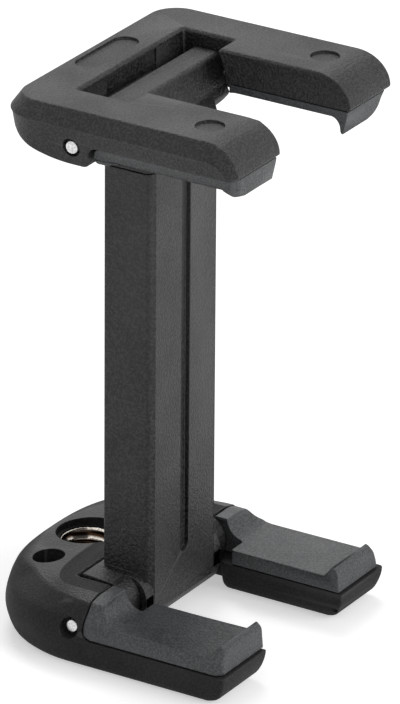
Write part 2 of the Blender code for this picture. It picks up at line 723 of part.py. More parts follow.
def lower_knuckle_section(front_reach, toe_radius):
    """Side section of the lower knuckle: flat behind, gently falling top, round crown and swept foot."""
    top = LOWER_PIN_Z + LOWER_KNUCKLE_TOP_REACH
    rear = PIN_Y + KNUCKLE_REAR_REACH
    front = PIN_Y - front_reach
    crown_z = top - LOWER_KNUCKLE_TOP_FALL
    head = rounded([
        (rear, top, 0.25 * MM, 2),
        (front, crown_z, CROWN_ROUND, 7),
        (front, LOWER_PIN_Z, 0, 0),
        (rear, LOWER_PIN_Z, 0, 0),
    ])
    return head[:-2] + swept_foot(front_reach, toe_radius)


def make_column_sleeve():
    """Rectangular sleeve with its lower knuckle, its cavity and the long groove in front."""
    foot_z = LOWER_PIN_Z - KNUCKLE_BOTTOM_REACH
    sleeve = prism("column_sleeve", column_outline(), foot_z - PAST, SLEEVE_TOP_Z, 'Z')
    front_reach = PIN_Y - COLUMN_FRONT_Y + PAST
    toe = swept_foot(PIN_Y - COLUMN_FRONT_Y - 0.001 * MM, LOWER_WEB_TOE_RADIUS)
    high = SLEEVE_TOP_Z + PAST
    outline = [(PIN_Y + front_reach, high), (PIN_Y - front_reach, high), (PIN_Y - front_reach, toe[0][1])]
    trim(sleeve, prism("sleeve_side", outline + toe, -WIDE, WIDE, 'X'))
    web_half = LOWER_ARM_GAP_HALF - LOWER_WEB_SIDE_GAP
    web = prism("lower_web", lower_knuckle_section(LOWER_WEB_FRONT_REACH, LOWER_WEB_TOE_RADIUS),
                -web_half, web_half, 'X')
    barrel_section = lower_knuckle_section(LOWER_BARREL_RADIUS, LOWER_BARREL_RADIUS + 0.02 * MM)
    barrel = prism("lower_barrel", barrel_section, -KNUCKLE_HALF, KNUCKLE_HALF, 'X')
    join(sleeve, web, barrel)
    cavity = prism("sleeve_cavity", rectangle(CAVITY_HALF, CAVITY_FRONT_Y, CAVITY_REAR_Y),
                   CAVITY_FLOOR_Z, high, 'Z')
    groove_line = arc((0.0, GROOVE_FOOT_Z + GROOVE_HALF_WIDTH), (GROOVE_HALF_WIDTH, GROOVE_HALF_WIDTH),
                      180, 360, 10)
    groove_line += [(GROOVE_HALF_WIDTH, high), (-GROOVE_HALF_WIDTH, high)]
    groove = prism("sleeve_groove", groove_line, COLUMN_FRONT_Y - PAST, COLUMN_FRONT_Y + GROOVE_DEPTH, 'Y')
    bar_half = CAVITY_HALF + BAR_SEAT
    bar_seat = cross_rod("lower_bar_seat", BAR_RADIUS + BAR_FIT, -bar_half, bar_half, SPRING_Y, LOWER_BAR_Z,
                         SMALL_ROUND_STEPS)
    pin_bore = cross_rod("sleeve_pin_bore", PIN_RADIUS + PIN_FIT, -WIDE, WIDE, PIN_Y, LOWER_PIN_Z,
                         SMALL_ROUND_STEPS)
    cut(sleeve, cavity, groove, bar_seat, pin_bore)
    cut_washer_recesses(sleeve, "lower", LOWER_PIN_Z)
    return sleeve


def cut_washer_recesses(knuckle, level, z):
    for side, sign in (("left", -1), ("right", 1)):
        cut(knuckle, cross_rod(level + "_washer_recess_" + side, WASHER_RADIUS + SEAT_FIT,
                               sign * (KNUCKLE_HALF - WASHER_RECESS), sign * (KNUCKLE_HALF + PAST),
                               PIN_Y, z, ROUND_STEPS))


def make_mouth_guide():
    ring = prism("sleeve_mouth_guide", rectangle(CAVITY_HALF - SEAT_FIT, CAVITY_FRONT_Y + SEAT_FIT,
                                                 CAVITY_REAR_Y - SEAT_FIT), GUIDE_FOOT_Z, GUIDE_TOP_Z, 'Z')
    way = prism("guide_way", rectangle(RAIL_HALF_WIDTH + SLIDE_FIT, RAIL_FRONT_Y - SLIDE_FIT,
                                       RAIL_REAR_Y + SLIDE_FIT), GUIDE_FOOT_Z - PAST, GUIDE_TOP_Z + PAST, 'Z')
    return cut(ring, way)


def make_slider_rail():
    """Folded channel, open behind, with its edges turned in and holes for the upper bar."""
    half = RAIL_HALF_WIDTH
    inner = half - RAIL_WALL
    lip = inner - RAIL_LIP
    web = RAIL_FRONT_Y + RAIL_WALL
    lip_y = RAIL_REAR_Y - RAIL_WALL
    right = [(half, RAIL_FRONT_Y), (half, RAIL_REAR_Y), (lip, RAIL_REAR_Y), (lip, lip_y), (inner, lip_y),
             (inner, web)]
    left = [(-x, y) for x, y in reversed(right)]
    rail_top = SLEEVE_TOP_Z + CAP_SEAM + RAIL_SOCKET_DEPTH - SEAT_FIT
    rail = prism("slider_rail", right + left, RAIL_FOOT_Z, rail_top, 'Z')
    holes = cross_rod("upper_bar_holes", BAR_RADIUS + BAR_FIT, -WIDE, WIDE, SPRING_Y, UPPER_BAR_Z,
                      SMALL_ROUND_STEPS)
    return cut(rail, holes)


def make_rail_foot():
    """Shoe round the rail's lower end: it meets the guide when the slider is right out."""
    top = GUIDE_FOOT_Z - TRAVEL - SLIDE_FIT
    shoe = prism("rail_foot", rectangle(CAVITY_HALF - SLIDE_FIT, CAVITY_FRONT_Y + SLIDE_FIT,
                                        CAVITY_REAR_Y - SLIDE_FIT), RAIL_FOOT_Z, top, 'Z')
    way = prism("foot_way", rectangle(RAIL_HALF_WIDTH + SEAT_FIT, RAIL_FRONT_Y - SEAT_FIT,
                                      RAIL_REAR_Y + SEAT_FIT), RAIL_FOOT_Z - PAST, top + PAST, 'Z')
    return cut(shoe, way)


def spring_path(sign):
    """Hook round the lower bar, close helix, hook round the upper bar."""
    x = sign * SPRING_X
    hook = BAR_RADIUS + SPRING_HOOK_GAP + SPRING_WIRE_RADIUS
    low = LOWER_BAR_Z + SPRING_NECK
    high = UPPER_BAR_Z - SPRING_NECK
    path = []
    for y, z in arc((SPRING_Y, LOWER_BAR_Z), (hook, hook), 60, -180, 10):
        path.append((x, y, z))
    steps = SPRING_TURNS * 10
    for step in range(steps + 1):
        angle = math.tau * SPRING_TURNS * step / steps - math.pi / 2
        path.append((x + SPRING_RADIUS * math.cos(angle), SPRING_Y + SPRING_RADIUS * math.sin(angle),
                     low + (high - low) * step / steps))
    for y, z in arc((SPRING_Y, UPPER_BAR_Z), (hook, hook), 180, -60, 10):
        path.append((x, y, z))
    return path


def make_spring(side, sign):
    points = spring_path(sign)
    curve = bpy.data.curves.new("spring_" + side, 'CURVE')
    curve.dimensions = '3D'
    curve.bevel_depth = SPRING_WIRE_RADIUS
    curve.bevel_resolution = 1
    curve.use_fill_caps = True
    spline = curve.splines.new('POLY')
    spline.points.add(len(points) - 1)
    for point, place in zip(spline.points, points):
        point.co = (*place, 1.0)
    holder = bpy.data.objects.new("spring_line_" + side, curve)
    bpy.context.scene.collection.objects.link(holder)
    bpy.context.view_layer.update()
    return curve_to_mesh(holder, "spring_" + side)


def make_bars():
    lower_half = CAVITY_HALF + BAR_SEAT - SEAT_FIT
    upper_half = RAIL_HALF_WIDTH - SEAT_FIT
    lower = cross_rod("spring_bar_lower", BAR_RADIUS, -lower_half, lower_half, SPRING_Y, LOWER_BAR_Z,
                      SMALL_ROUND_STEPS)
    upper = cross_rod("spring_bar_upper", BAR_RADIUS, -upper_half, upper_half, SPRING_Y, UPPER_BAR_Z,
                      SMALL_ROUND_STEPS)
    return lower, upper


def make_head_gussets():
    """Round-faced gussets under the knuckle's overhang, one on each side of the cap."""
    outer = KNUCKLE_HALF - 0.2 * MM
    inner = COLUMN_HALF_WIDTH - 0.3 * MM
    high = UNDER_HEAD_Z + 0.2 * MM
    gussets = []
    for side, sign in (("left", -1), ("right", 1)):
        face = arc((inner, UNDER_HEAD_Z), (outer - inner, UPPER_KNUCKLE_GUSSET_DROP), 0, -90, 7)
        face += [(inner, high), (outer, high)]
        gussets.append(prism("head_gusset_" + side, [(sign * x, z) for x, z in face],
                             PIN_Y - UPPER_KNUCKLE_SHOULDER_REACH + 0.05 * MM,
                             PIN_Y + KNUCKLE_REAR_REACH - 0.3 * MM, 'Y'))
    return gussets


def make_slider_head():
    """Head of the slider: cap with the column's section, upper knuckle and the rail's socket."""
    foot = SLEEVE_TOP_Z + CAP_SEAM
    rear = PIN_Y + KNUCKLE_REAR_REACH
    crown = UPPER_PIN_Z + UPPER_KNUCKLE_TOP_REACH
    brow_z = UNDER_HEAD_Z + UPPER_KNUCKLE_SHOULDER_HEIGHT
    shoulder_y = PIN_Y - UPPER_KNUCKLE_SHOULDER_REACH
    head = prism("slider_head", rounded([
        (PIN_Y + 1.0 * MM, crown, 0.3 * MM, 2),
        (PIN_Y - UPPER_KNUCKLE_FRONT_REACH + 0.9 * MM, crown, 0.6 * MM, 4),
        (PIN_Y - UPPER_KNUCKLE_FRONT_REACH, brow_z, 0.3 * MM, 2),
        (shoulder_y, UNDER_HEAD_Z, 0, 0),
        (rear, UNDER_HEAD_Z, 0, 0),
        (rear, UPPER_PIN_Z + 0.6 * MM, 0.8 * MM, 4),
    ]), -KNUCKLE_HALF, KNUCKLE_HALF, 'X')
    cap = prism("slider_cap", column_outline(), foot, UPPER_PIN_Z, 'Z')
    slope_y = PIN_Y - UPPER_KNUCKLE_FRONT_REACH + 0.3 * MM
    cap_side = prism("slider_cap_side", [
        (COLUMN_REAR_Y + PAST, foot - PAST),
        (COLUMN_REAR_Y + PAST, brow_z),
        (slope_y, brow_z),
        (COLUMN_FRONT_Y - PAST, UNDER_HEAD_Z - PAST),
        (COLUMN_FRONT_Y - PAST, foot - PAST),
    ], -WIDE, WIDE, 'X')
    trim(cap, cap_side)
    join(head, cap, *make_head_gussets())
    socket_plan = rectangle(RAIL_HALF_WIDTH + SEAT_FIT, RAIL_FRONT_Y - SEAT_FIT, RAIL_REAR_Y + SEAT_FIT)
    socket = prism("rail_socket", socket_plan, foot - PAST, foot + RAIL_SOCKET_DEPTH, 'Z')
    pin_bore = cross_rod("head_pin_bore", PIN_RADIUS + PIN_FIT, -WIDE, WIDE, PIN_Y, UPPER_PIN_Z,
                         SMALL_ROUND_STEPS)
    cut(head, socket, pin_bore)
    cut_washer_recesses(head, "upper", UPPER_PIN_Z)
    return head


def upper_form(name, levels, front_round):
    """Outer form of the upper jaw from levels of (half width, front, inset behind, height), upward."""
    rings = []
    for half_width, front_y, rear_inset, z in levels:
        rings.append(plan_ring(half_width, front_y, UPPER_REAR_Y - rear_inset, front_round,
                               UPPER_REAR_ROUND - rear_inset * 0.9, z))
    return loft(name, rings)


def shell_levels():
    """Levels of the shell: sides that draw in towards the base, a small step, the slanted band."""
    step = UPPER_BAND_STEP
    return [
        (UPPER_BASE_HALF_WIDTH, -WIDE, step, UPPER_BASE_Z - PAST),
        (UPPER_BASE_HALF_WIDTH, -WIDE, step, UPPER_BASE_Z),
        (UPPER_SEAM_HALF_WIDTH, -WIDE, step, UPPER_SEAM_Z),
        (UPPER_HALF_WIDTH - step * 0.6, -WIDE, step, UPPER_BAND_Z - step),
        (UPPER_HALF_WIDTH, -WIDE, 0.0, UPPER_BAND_Z),
        (UPPER_HALF_WIDTH - UPPER_BAND_WIDTH, -WIDE, UPPER_BAND_WIDTH * 0.9, UPPER_TOP_Z),
    ]


def top_pad_levels():
    """Levels of the upper pads: the front leans like the lip, whose outer corner is rounded."""
    lip_z = UPPER_PAD_Z - UPPER_LIP_HEIGHT
    corner = UPPER_LIP_CORNER
    half = UPPER_BASE_HALF_WIDTH - UPPER_PAD_OUTER_INSET
    front = UPPER_TIP_Y + UPPER_PAD_TIP_INSET - 0.05 * MM
    lean = UPPER_LIP_LEAN / (UPPER_SEAM_Z - lip_z)
    outline = [
        (half - corner * 1.4, lip_z - corner * 0.2),
        (half - corner, lip_z),
        (half - corner * 0.5, lip_z + corner * 0.15),
        (half - corner * 0.13, lip_z + corner * 0.5),
        (half, lip_z + corner),
        (UPPER_SEAM_HALF_WIDTH - UPPER_PAD_OUTER_INSET, UPPER_SEAM_Z),
    ]
    inset = UPPER_PAD_OUTER_INSET
    return [(width, front + (UPPER_SEAM_Z - z) * lean, inset, z) for width, z in outline]


def upper_section(inset):
    """Side section of the upper jaw: round tip, arm's underside, base and swept-up rear."""
    edge_z = UPPER_SEAM_Z + UPPER_TIP_EDGE
    tip_centre = UPPER_TIP_Y + UPPER_TIP_ROUND
    top = UPPER_TOP_Z - inset
    section = [(UPPER_REAR_Y + PAST, UPPER_BAND_Z), (UPPER_REAR_Y + PAST, top)]
    section += arc((tip_centre, edge_z), (UPPER_TIP_ROUND - inset, top - edge_z), 90, 180, 9)
    section.append((UPPER_TIP_Y + inset + UPPER_PAD_TIP_INSET, UPPER_SEAM_Z))
    undercut = UPPER_REAR_UNDERCUT
    under_rear = UPPER_REAR_Y - UPPER_BAND_STEP - undercut
    section = plain(section)
    section += [
        (UPPER_BASE_FRONT_Y, UPPER_SEAM_Z, UPPER_PAD_HEEL_ROUND + PAD_SEAM, 4),
        (UPPER_BASE_FRONT_Y, UPPER_BASE_Z, UPPER_BASE_ROUND, 4),
    ]
    section += plain(arc((under_rear, UPPER_BAND_Z), (undercut, UPPER_BAND_Z - UPPER_BASE_Z), 270, 355, 9))
    return rounded(section)


def upper_side_form(name):
    """The side section carried across the jaw, drawn in at both sides so that the band rounds the tip."""
    margin = 0.4 * MM
    inset = UPPER_BAND_HEIGHT + margin
    outer = UPPER_HALF_WIDTH + margin * UPPER_BAND_WIDTH / UPPER_BAND_HEIGHT
    inner = UPPER_HALF_WIDTH - UPPER_BAND_WIDTH
    rings = []
    for x, drawn_in in ((-outer, inset), (-inner, 0.0), (inner, 0.0), (outer, inset)):
        rings.append([(x, y, z) for y, z in upper_section(drawn_in)])
    return loft(name, rings)


def make_top_jaw_shell():
    shell = upper_form("top_jaw_shell", shell_levels(), 0.5 * MM)
    trim(shell, upper_side_form("upper_side_form"))
    slot = slot_cutter("upper_slot", UPPER_ARM_GAP_HALF, PAD_SLOT_ROUND, upper_slot_levels())
    pin_bore = cross_rod("upper_jaw_pin_bore", PIN_RADIUS + PIN_FIT, -WIDE, WIDE, PIN_Y, UPPER_PIN_Z,
                         SMALL_ROUND_STEPS)
    cut(shell, slot, pin_bore)
    floor_z = UPPER_TOP_Z - RECESS_DEPTH
    high = UPPER_TOP_Z + PAST
    for side, sign in (("left", -1), ("right", 1)):
        cut(shell, cross_rod("upper_pin_recess_" + side, UPPER_PIN_HOLE_RADIUS,
                             sign * (upper_pin_half() - PIN_HOLE_DEPTH), sign * WIDE, PIN_Y, UPPER_PIN_Z,
                             SMALL_ROUND_STEPS))
        disc_x = sign * (UPPER_HALF_WIDTH - DISC_SIDE_INSET)
        cut(shell, rod("disc_recess_" + side, DISC_RADIUS, (disc_x, DISC_Y, floor_z), (disc_x, DISC_Y, high)))
    straight = BADGE_HALF_LENGTH - BADGE_HALF_WIDTH
    badge = arc((straight, BADGE_Y), (BADGE_HALF_WIDTH, BADGE_HALF_WIDTH), -90, 90, 8)
    badge += arc((-straight, BADGE_Y), (BADGE_HALF_WIDTH, BADGE_HALF_WIDTH), 90, 270, 8)
    panel_top = UPPER_TOP_Z - REAR_PANEL_DROP
    cut(shell, prism("badge_recess", badge, floor_z, high, 'Z'),
        box("rear_wall_recess", (-REAR_PANEL_HALF_WIDTH, SLOT_REAR_Y - PAST, panel_top - REAR_PANEL_HEIGHT),
            (REAR_PANEL_HALF_WIDTH, SLOT_REAR_Y + RECESS_DEPTH, panel_top)))
    return shell


def make_top_pad(side, sign):
    """Rubber pad under an upper arm: low hump behind, flat grip face and a lip that curves down."""
    top = UPPER_SEAM_Z - PAD_SEAM
    rear = UPPER_PAD_REAR_Y
    front = UPPER_TIP_Y + UPPER_PAD_TIP_INSET
    crest_z = UPPER_PAD_Z - UPPER_HUMP_HEIGHT
    lip_z = UPPER_PAD_Z - UPPER_LIP_HEIGHT
    scoop_start = rear - UPPER_HUMP_LENGTH
    tip_z = lip_z + UPPER_LIP_ROUND
    lip_foot = front + UPPER_LIP_LENGTH
    lip_back = front + UPPER_LIP_LEAN + UPPER_LIP_ROUND
    corners = [(rear, top, UPPER_PAD_HEEL_ROUND, 4), (front, top, 0, 0)]
    corners += plain(arc((front + UPPER_LIP_LEAN, tip_z), (UPPER_LIP_ROUND, UPPER_LIP_ROUND), 200, 360, 5))
    corners += plain(arc((lip_foot, tip_z), (lip_foot - lip_back, UPPER_PAD_Z - tip_z), 165, 90, 5))
    corners += plain(arc((scoop_start - UPPER_HUMP_SCOOP, crest_z), (UPPER_HUMP_SCOOP, UPPER_HUMP_HEIGHT),
                         90, 9, 5))
    corners += [(scoop_start, crest_z, 0.2 * MM, 2), (rear, crest_z, 0.8 * MM, 5)]
    section = rounded(corners)
    pad = upper_form("top_pad_" + side, top_pad_levels(), UPPER_PAD_FRONT_ROUND)
    inner = UPPER_ARM_GAP_HALF + UPPER_PAD_SIDE_INSET
    rings = []
    for x in (inner - PAST, UPPER_HALF_WIDTH + PAST):
        fall = (x - inner) * UPPER_PAD_FALL
        ring = []
        for y, z in section:
            share = min((top - z) / (top - UPPER_PAD_Z), (z - lip_z) / UPPER_LIP_HEIGHT, 1.0)
            ring.append((sign * x, y, z - fall * share))
        rings.append(ring)
    block = loft("upper_pad_section_" + side, rings)
    slot = slot_cutter("upper_pad_slot_" + side, inner, PAD_SLOT_ROUND,
                       pad_slot_levels(UPPER_SLOT_REACH + UPPER_SLOT_LEAN, UPPER_BASE_Z - PAST, UPPER_TOP_Z))
    return cut(trim(pad, block), slot)


def make_material(name, colour, roughness, metallic=0.0):
    material = bpy.data.materials.new(name)
    material.use_nodes = True
    shader = material.node_tree.nodes["Principled BSDF"]
    shader.inputs["Base Color"].default_value = (*colour, 1.0)
    shader.inputs["Roughness"].default_value = roughness
    shader.inputs["Metallic"].default_value = metallic
    material.diffuse_color = (*colour, 1.0)
    return material


def dress(obj, collection, colour, roughness, metallic=0.0):
    """Give a finished piece its own material, smooth shading and its place in the collection."""
    obj.data.materials.clear()
    obj.data.materials.append(make_material(obj.name + "_finish", colour, roughness, metallic))
    obj.data.shade_smooth()
    obj.data.set_sharp_from_angle(angle=math.radians(30))
    return link(obj, collection)


def axis_empty(name, place, collection, parent=None):
    """Empty on a joint's axis, which carries the pieces that move with it."""
    empty = bpy.data.objects.new(name, None)
    empty.empty_display_size = 5 * MM
    empty.location = place
    collection.objects.link(empty)
    if parent is not None:
        empty.parent = parent
        empty.location = Vector(place) - parent.matrix_world.translation
    bpy.context.view_layer.update()
    return empty


def carry(empty, pieces):
    for piece in pieces:
        piece.parent = empty
        piece.matrix_parent_inverse = empty.matrix_world.inverted()


PLASTIC = (0.045, 0.045, 0.047)
BASE_PLASTIC = (0.030, 0.030, 0.032)
RUBBER = (0.075, 0.082, 0.088)
NICKEL = (0.72, 0.68, 0.62)
STEEL = (0.62, 0.62, 0.62)
ACETAL = (0.55, 0.55, 0.52)


def build():
    for obj in list(bpy.data.objects):
        bpy.data.objects.remove(obj)
    parts = make_collection("tripod_phone_mount_adapter")
    make_collection("cutters")

    bottom = [dress(make_bottom_jaw_body(), parts, BASE_PLASTIC, 0.55)]
    top = [dress(make_top_jaw_shell(), parts, PLASTIC, 0.6)]
    for side, sign in (("left", -1), ("right", 1)):
        bottom.append(dress(make_bottom_pad(side, sign), parts, RUBBER, 0.7))
        bottom.append(dress(make_washer("lower_washer_" + side, sign, LOWER_PIN_Z), parts, ACETAL, 0.5))
        top.append(dress(make_top_pad(side, sign), parts, RUBBER, 0.7))
        top.append(dress(make_washer("upper_washer_" + side, sign, UPPER_PIN_Z), parts, ACETAL, 0.5))
    bottom.append(dress(make_thread_insert(), parts, NICKEL, 0.25, 1.0))
    half = lower_pin_half()
    bottom.append(dress(cross_rod("bottom_hinge_pin", PIN_RADIUS, -half, half, PIN_Y, LOWER_PIN_Z,
                                  SMALL_ROUND_STEPS), parts, STEEL, 0.3, 1.0))
    half = upper_pin_half()
    top.append(dress(cross_rod("top_hinge_pin", PIN_RADIUS, -half, half, PIN_Y, UPPER_PIN_Z,
                               SMALL_ROUND_STEPS), parts, STEEL, 0.3, 1.0))

    lower_bar, upper_bar = make_bars()
    sleeve = [
        dress(make_column_sleeve(), parts, PLASTIC, 0.6),
        dress(make_mouth_guide(), parts, ACETAL, 0.5),
        dress(lower_bar, parts, STEEL, 0.35, 1.0),
        dress(make_spring("left", -1), parts, STEEL, 0.3, 1.0),
        dress(make_spring("right", 1), parts, STEEL, 0.3, 1.0),
    ]
    slider = [
        dress(make_slider_head(), parts, PLASTIC, 0.6),
        dress(make_slider_rail(), parts, STEEL, 0.3, 1.0),
        dress(make_rail_foot(), parts, ACETAL, 0.5),
        dress(upper_bar, parts, STEEL, 0.35, 1.0),
    ]

    base = axis_empty("bottom_jaw", (0.0, 0.0, 0.0), parts)
    fold = axis_empty("bottom_fold_axis", (0.0, PIN_Y, LOWER_PIN_Z), parts, base)
    slide = axis_empty("grip_slide_axis", (0.0, PIN_Y, SLEEVE_TOP_Z), parts, fold)
    tilt = axis_empty("top_fold_axis", (0.0, PIN_Y, UPPER_PIN_Z), parts, slide)
    carry(base, bottom)
    carry(fold, sleeve)
    carry(slide, slider)
    carry(tilt, top)
    base.location.y = ORIGIN_SHIFT_Y
    bpy.context.view_layer.update()


build()
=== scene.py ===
"""Looks of the sprung phone clamp: camera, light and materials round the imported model."""

import math

import bmesh
import bpy
from mathutils import Matrix, Vector
from mathutils.bvhtree import BVHTree
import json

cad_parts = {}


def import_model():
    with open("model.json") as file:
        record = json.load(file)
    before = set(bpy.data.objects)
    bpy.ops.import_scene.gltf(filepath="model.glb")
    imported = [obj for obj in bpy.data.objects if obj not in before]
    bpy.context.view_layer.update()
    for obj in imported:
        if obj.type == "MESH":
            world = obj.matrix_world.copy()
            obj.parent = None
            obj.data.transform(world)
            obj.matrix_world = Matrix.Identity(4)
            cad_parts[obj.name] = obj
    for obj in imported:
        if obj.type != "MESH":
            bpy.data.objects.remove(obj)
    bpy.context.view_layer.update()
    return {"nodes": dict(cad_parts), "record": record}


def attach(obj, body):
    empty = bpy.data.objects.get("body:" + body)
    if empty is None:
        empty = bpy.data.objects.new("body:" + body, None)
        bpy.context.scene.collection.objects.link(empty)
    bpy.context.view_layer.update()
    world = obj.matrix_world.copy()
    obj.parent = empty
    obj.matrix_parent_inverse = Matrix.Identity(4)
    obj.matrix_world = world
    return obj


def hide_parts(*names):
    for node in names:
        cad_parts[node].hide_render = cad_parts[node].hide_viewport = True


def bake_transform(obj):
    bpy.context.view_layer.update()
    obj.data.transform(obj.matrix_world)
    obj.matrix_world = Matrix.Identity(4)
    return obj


MM = 0.001

# Camera, in degrees and metres; the lens is for a sensor as wide as the picture's long side
CAMERA_AZIMUTH = -58.282
CAMERA_ELEVATION = 24.031
CAMERA_ROLL = 0.413
CAMERA_DISTANCE = 0.81988
CAMERA_LENS = 385.67
CAMERA_TARGET = (-0.000165, -0.002975, 0.032684)

# Light: lamps of (name, place, side, watts), the world and the paper floor
LAMPS = (("key", (0.45, 0.35, 0.75), 0.35, 2.4), ("front_fill", (0.1, -0.8, 0.45), 0.5, 3.5))
LAMP_AIM = (0.0, 0.0, 0.03)
AMBIENT = 0.5
FLOOR_HALF = 3.0
FLOOR_DROP = 0.05 * MM
FLOOR_GREY = 0.8
FLOOR_GLOW = 0.45

# Grip: the distance between the faces of the pads, closed
PAD_GAP = 55.0 * MM

# Running and seating clearances
PAD_SEAM = 0.12 * MM
HINGE_SIDE_GAP = 0.24 * MM
PIN_FIT = 0.10 * MM
SEAT_FIT = 0.10 * MM

# Hinge pins, both on the same line above each other
PIN_RADIUS = 0.75 * MM
PIN_Y = -1.7 * MM
LOWER_PIN_Z = 4.45 * MM
UPPER_PIN_OVER_PAD = 0.54 * MM

# T-shaped slot of each jaw, in which its knuckle turns
SLOT_HALF = 10.54 * MM
SLOT_REAR_REACH = 2.7 * MM
SLOT_FRONT_REACH = 3.8 * MM
SLOT_INNER_ROUND = 0.35 * MM
PAD_SLOT_ROUND = 0.3 * MM
SLOT_RIM = 0.3 * MM

# Lower jaw
LOWER_HALF_WIDTH = 17.05 * MM
LOWER_TIP_Y = -21.6 * MM
LOWER_TIP_ROUND = 0.5 * MM
LOWER_PAD_TIP_ROUND = 1.2 * MM
LOWER_PAD_SIDE_INSET = 0.2 * MM
LOWER_REAR_Y = 12.1 * MM
LOWER_REAR_CURVE_Y = -1.5 * MM
LOWER_REAR_FULLNESS = 2.6
LOWER_SEAM_Z = 3.65 * MM
LOWER_PAD_Z = 5.36 * MM
LOWER_TOP_Z = 7.68 * MM
LOWER_ARM_GAP_HALF = 7.96 * MM
LOWER_SLOT_OUTER_ROUND = 1.0 * MM
LOWER_SLOT_FLARE = 1.1 * MM
FOOT_SIDE_INSET = 1.0 * MM
FOOT_FRONT_INSET = 2.3 * MM
FOOT_REAR_INSET = 1.7 * MM
FOOT_REAR_FULLNESS = 2.3
FOOT_RISE = 2.2 * MM
FLANK_LEAN = 2.15 * MM
REAR_LEAN = 1.6 * MM
SHOULDER_DROP = 0.48 * MM
SHOULDER_CURVE_Y = -3.8 * MM
SHOULDER_FULLNESS = 2.05
CREASE_FADE_START = 44.0
CREASE_FADE_END = 60.0
PLATEAU_SIDE_INSET = 3.95 * MM
PLATEAU_REAR_Y = 3.9 * MM
PLATEAU_FULLNESS = 4.0

# Lower pads, as a section along Y
LOWER_PAD_REAR_Y = -3.4 * MM
LOWER_PAD_FRONT_Y = -21.2 * MM
LOWER_PAD_HEEL_ROUND = 1.2 * MM
LOWER_PAD_SHOULDER_REACH = 5.5 * MM
HUMP_HEIGHT = 2.24 * MM
HUMP_LENGTH = 1.75 * MM
HUMP_SCOOP = 2.5 * MM
LIP_LENGTH = 2.0 * MM
LIP_HEIGHT = 1.12 * MM
LIP_LEAN = 0.25 * MM
LIP_ROUND = 0.88 * MM

# Tripod bush and the plain hole beside it
BUSH_Y = 6.5 * MM
BUSH_RADIUS = 3.45 * MM
BUSH_NECK_RADIUS = 3.15 * MM
BUSH_NECK_HEIGHT = 0.5 * MM
BUSH_TOP_DEPTH = 1.3 * MM
BUSH_GROOVE_DEPTH = 0.35 * MM
BUSH_FOOT_RECESS = 0.2 * MM
THREAD_PITCH = 25.4 / 20 * MM
THREAD_MINOR_RADIUS = 2.62 * MM
THREAD_DEPTH = 0.42 * MM
THREAD_STEPS = 96
THREAD_ROWS = 72
THREAD_LEAD = 0.45 * MM
THREAD_OPEN = 0.9
BUSH_BANDS = 5
BUSH_EDGE = 0.08 * MM
BUSH_WELL_RADIUS = 3.65 * MM
SIDE_HOLE_X = -7.68 * MM
SIDE_HOLE_Y = 6.76 * MM
SIDE_HOLE_RADIUS = 1.8 * MM

# Column: the sleeve and the slider's cap have the same section
COLUMN_HALF_WIDTH = 6.9 * MM
COLUMN_FRONT_Y = -6.05 * MM
COLUMN_REAR_Y = 0.17 * MM
COLUMN_CHAMFER = 0.75 * MM
COLUMN_WALL = 0.9 * MM
CAP_SEAM = 0.10 * MM
CAP_HEIGHT = 3.6 * MM
GROOVE_HALF_WIDTH = 0.87 * MM
GROOVE_DEPTH = 0.6 * MM
GROOVE_FOOT_Z = 8.2 * MM
CAVITY_FLOOR_Z = 7.3 * MM

# Knuckles, as reaches from their pins
KNUCKLE_REAR_REACH = 2.44 * MM
KNUCKLE_BOTTOM_REACH = 2.55 * MM
KNUCKLE_HEEL_RADIUS = 2.6 * MM
LOWER_WEB_TOE_RADIUS = 4.37 * MM
LOWER_WEB_FRONT_REACH = 4.3 * MM
LOWER_BARREL_RADIUS = 3.35 * MM
LOWER_KNUCKLE_TOP_REACH = 3.42 * MM
LOWER_KNUCKLE_TOP_FALL = 0.32 * MM
LOWER_WEB_SIDE_GAP = 0.2 * MM
CROWN_ROUND = 2.4 * MM
UPPER_KNUCKLE_TOP_REACH = 2.5 * MM
UPPER_KNUCKLE_FRONT_REACH = 2.94 * MM
UPPER_KNUCKLE_SHOULDER_REACH = 3.45 * MM
UPPER_KNUCKLE_UNDER_REACH = 1.93 * MM
UPPER_KNUCKLE_SHOULDER_HEIGHT = 1.0 * MM
UPPER_KNUCKLE_GUSSET_DROP = 0.65 * MM

# Friction washers at the knuckles' ends
WASHER_RADIUS = 1.5 * MM
WASHER_RECESS = 0.7 * MM

# Upper jaw
UPPER_TOP_OVER_PAD = 4.74 * MM
UPPER_SEAM_OVER_PAD = 0.99 * MM
UPPER_BASE_UNDER_PAD = 1.56 * MM
UPPER_BAND_HEIGHT = 1.7 * MM
UPPER_BAND_WIDTH = 1.3 * MM
UPPER_HALF_WIDTH = 17.0 * MM
UPPER_SEAM_SIDE_INSET = 0.65 * MM
UPPER_BASE_SIDE_INSET = 1.1 * MM
UPPER_TIP_Y = -22.15 * MM
UPPER_TIP_ROUND = 4.25 * MM
UPPER_TIP_EDGE = 0.25 * MM
UPPER_REAR_Y = 7.5 * MM
UPPER_REAR_ROUND = 4.3 * MM
UPPER_BAND_STEP = 0.25 * MM
UPPER_REAR_UNDERCUT = 9.0 * MM
UPPER_ARM_GAP_HALF = 7.2 * MM
UPPER_SLOT_REACH = 3.55 * MM
UPPER_SLOT_LEAN = 1.5 * MM
UPPER_BASE_FRONT_Y = -3.75 * MM
UPPER_BASE_ROUND = 0.8 * MM

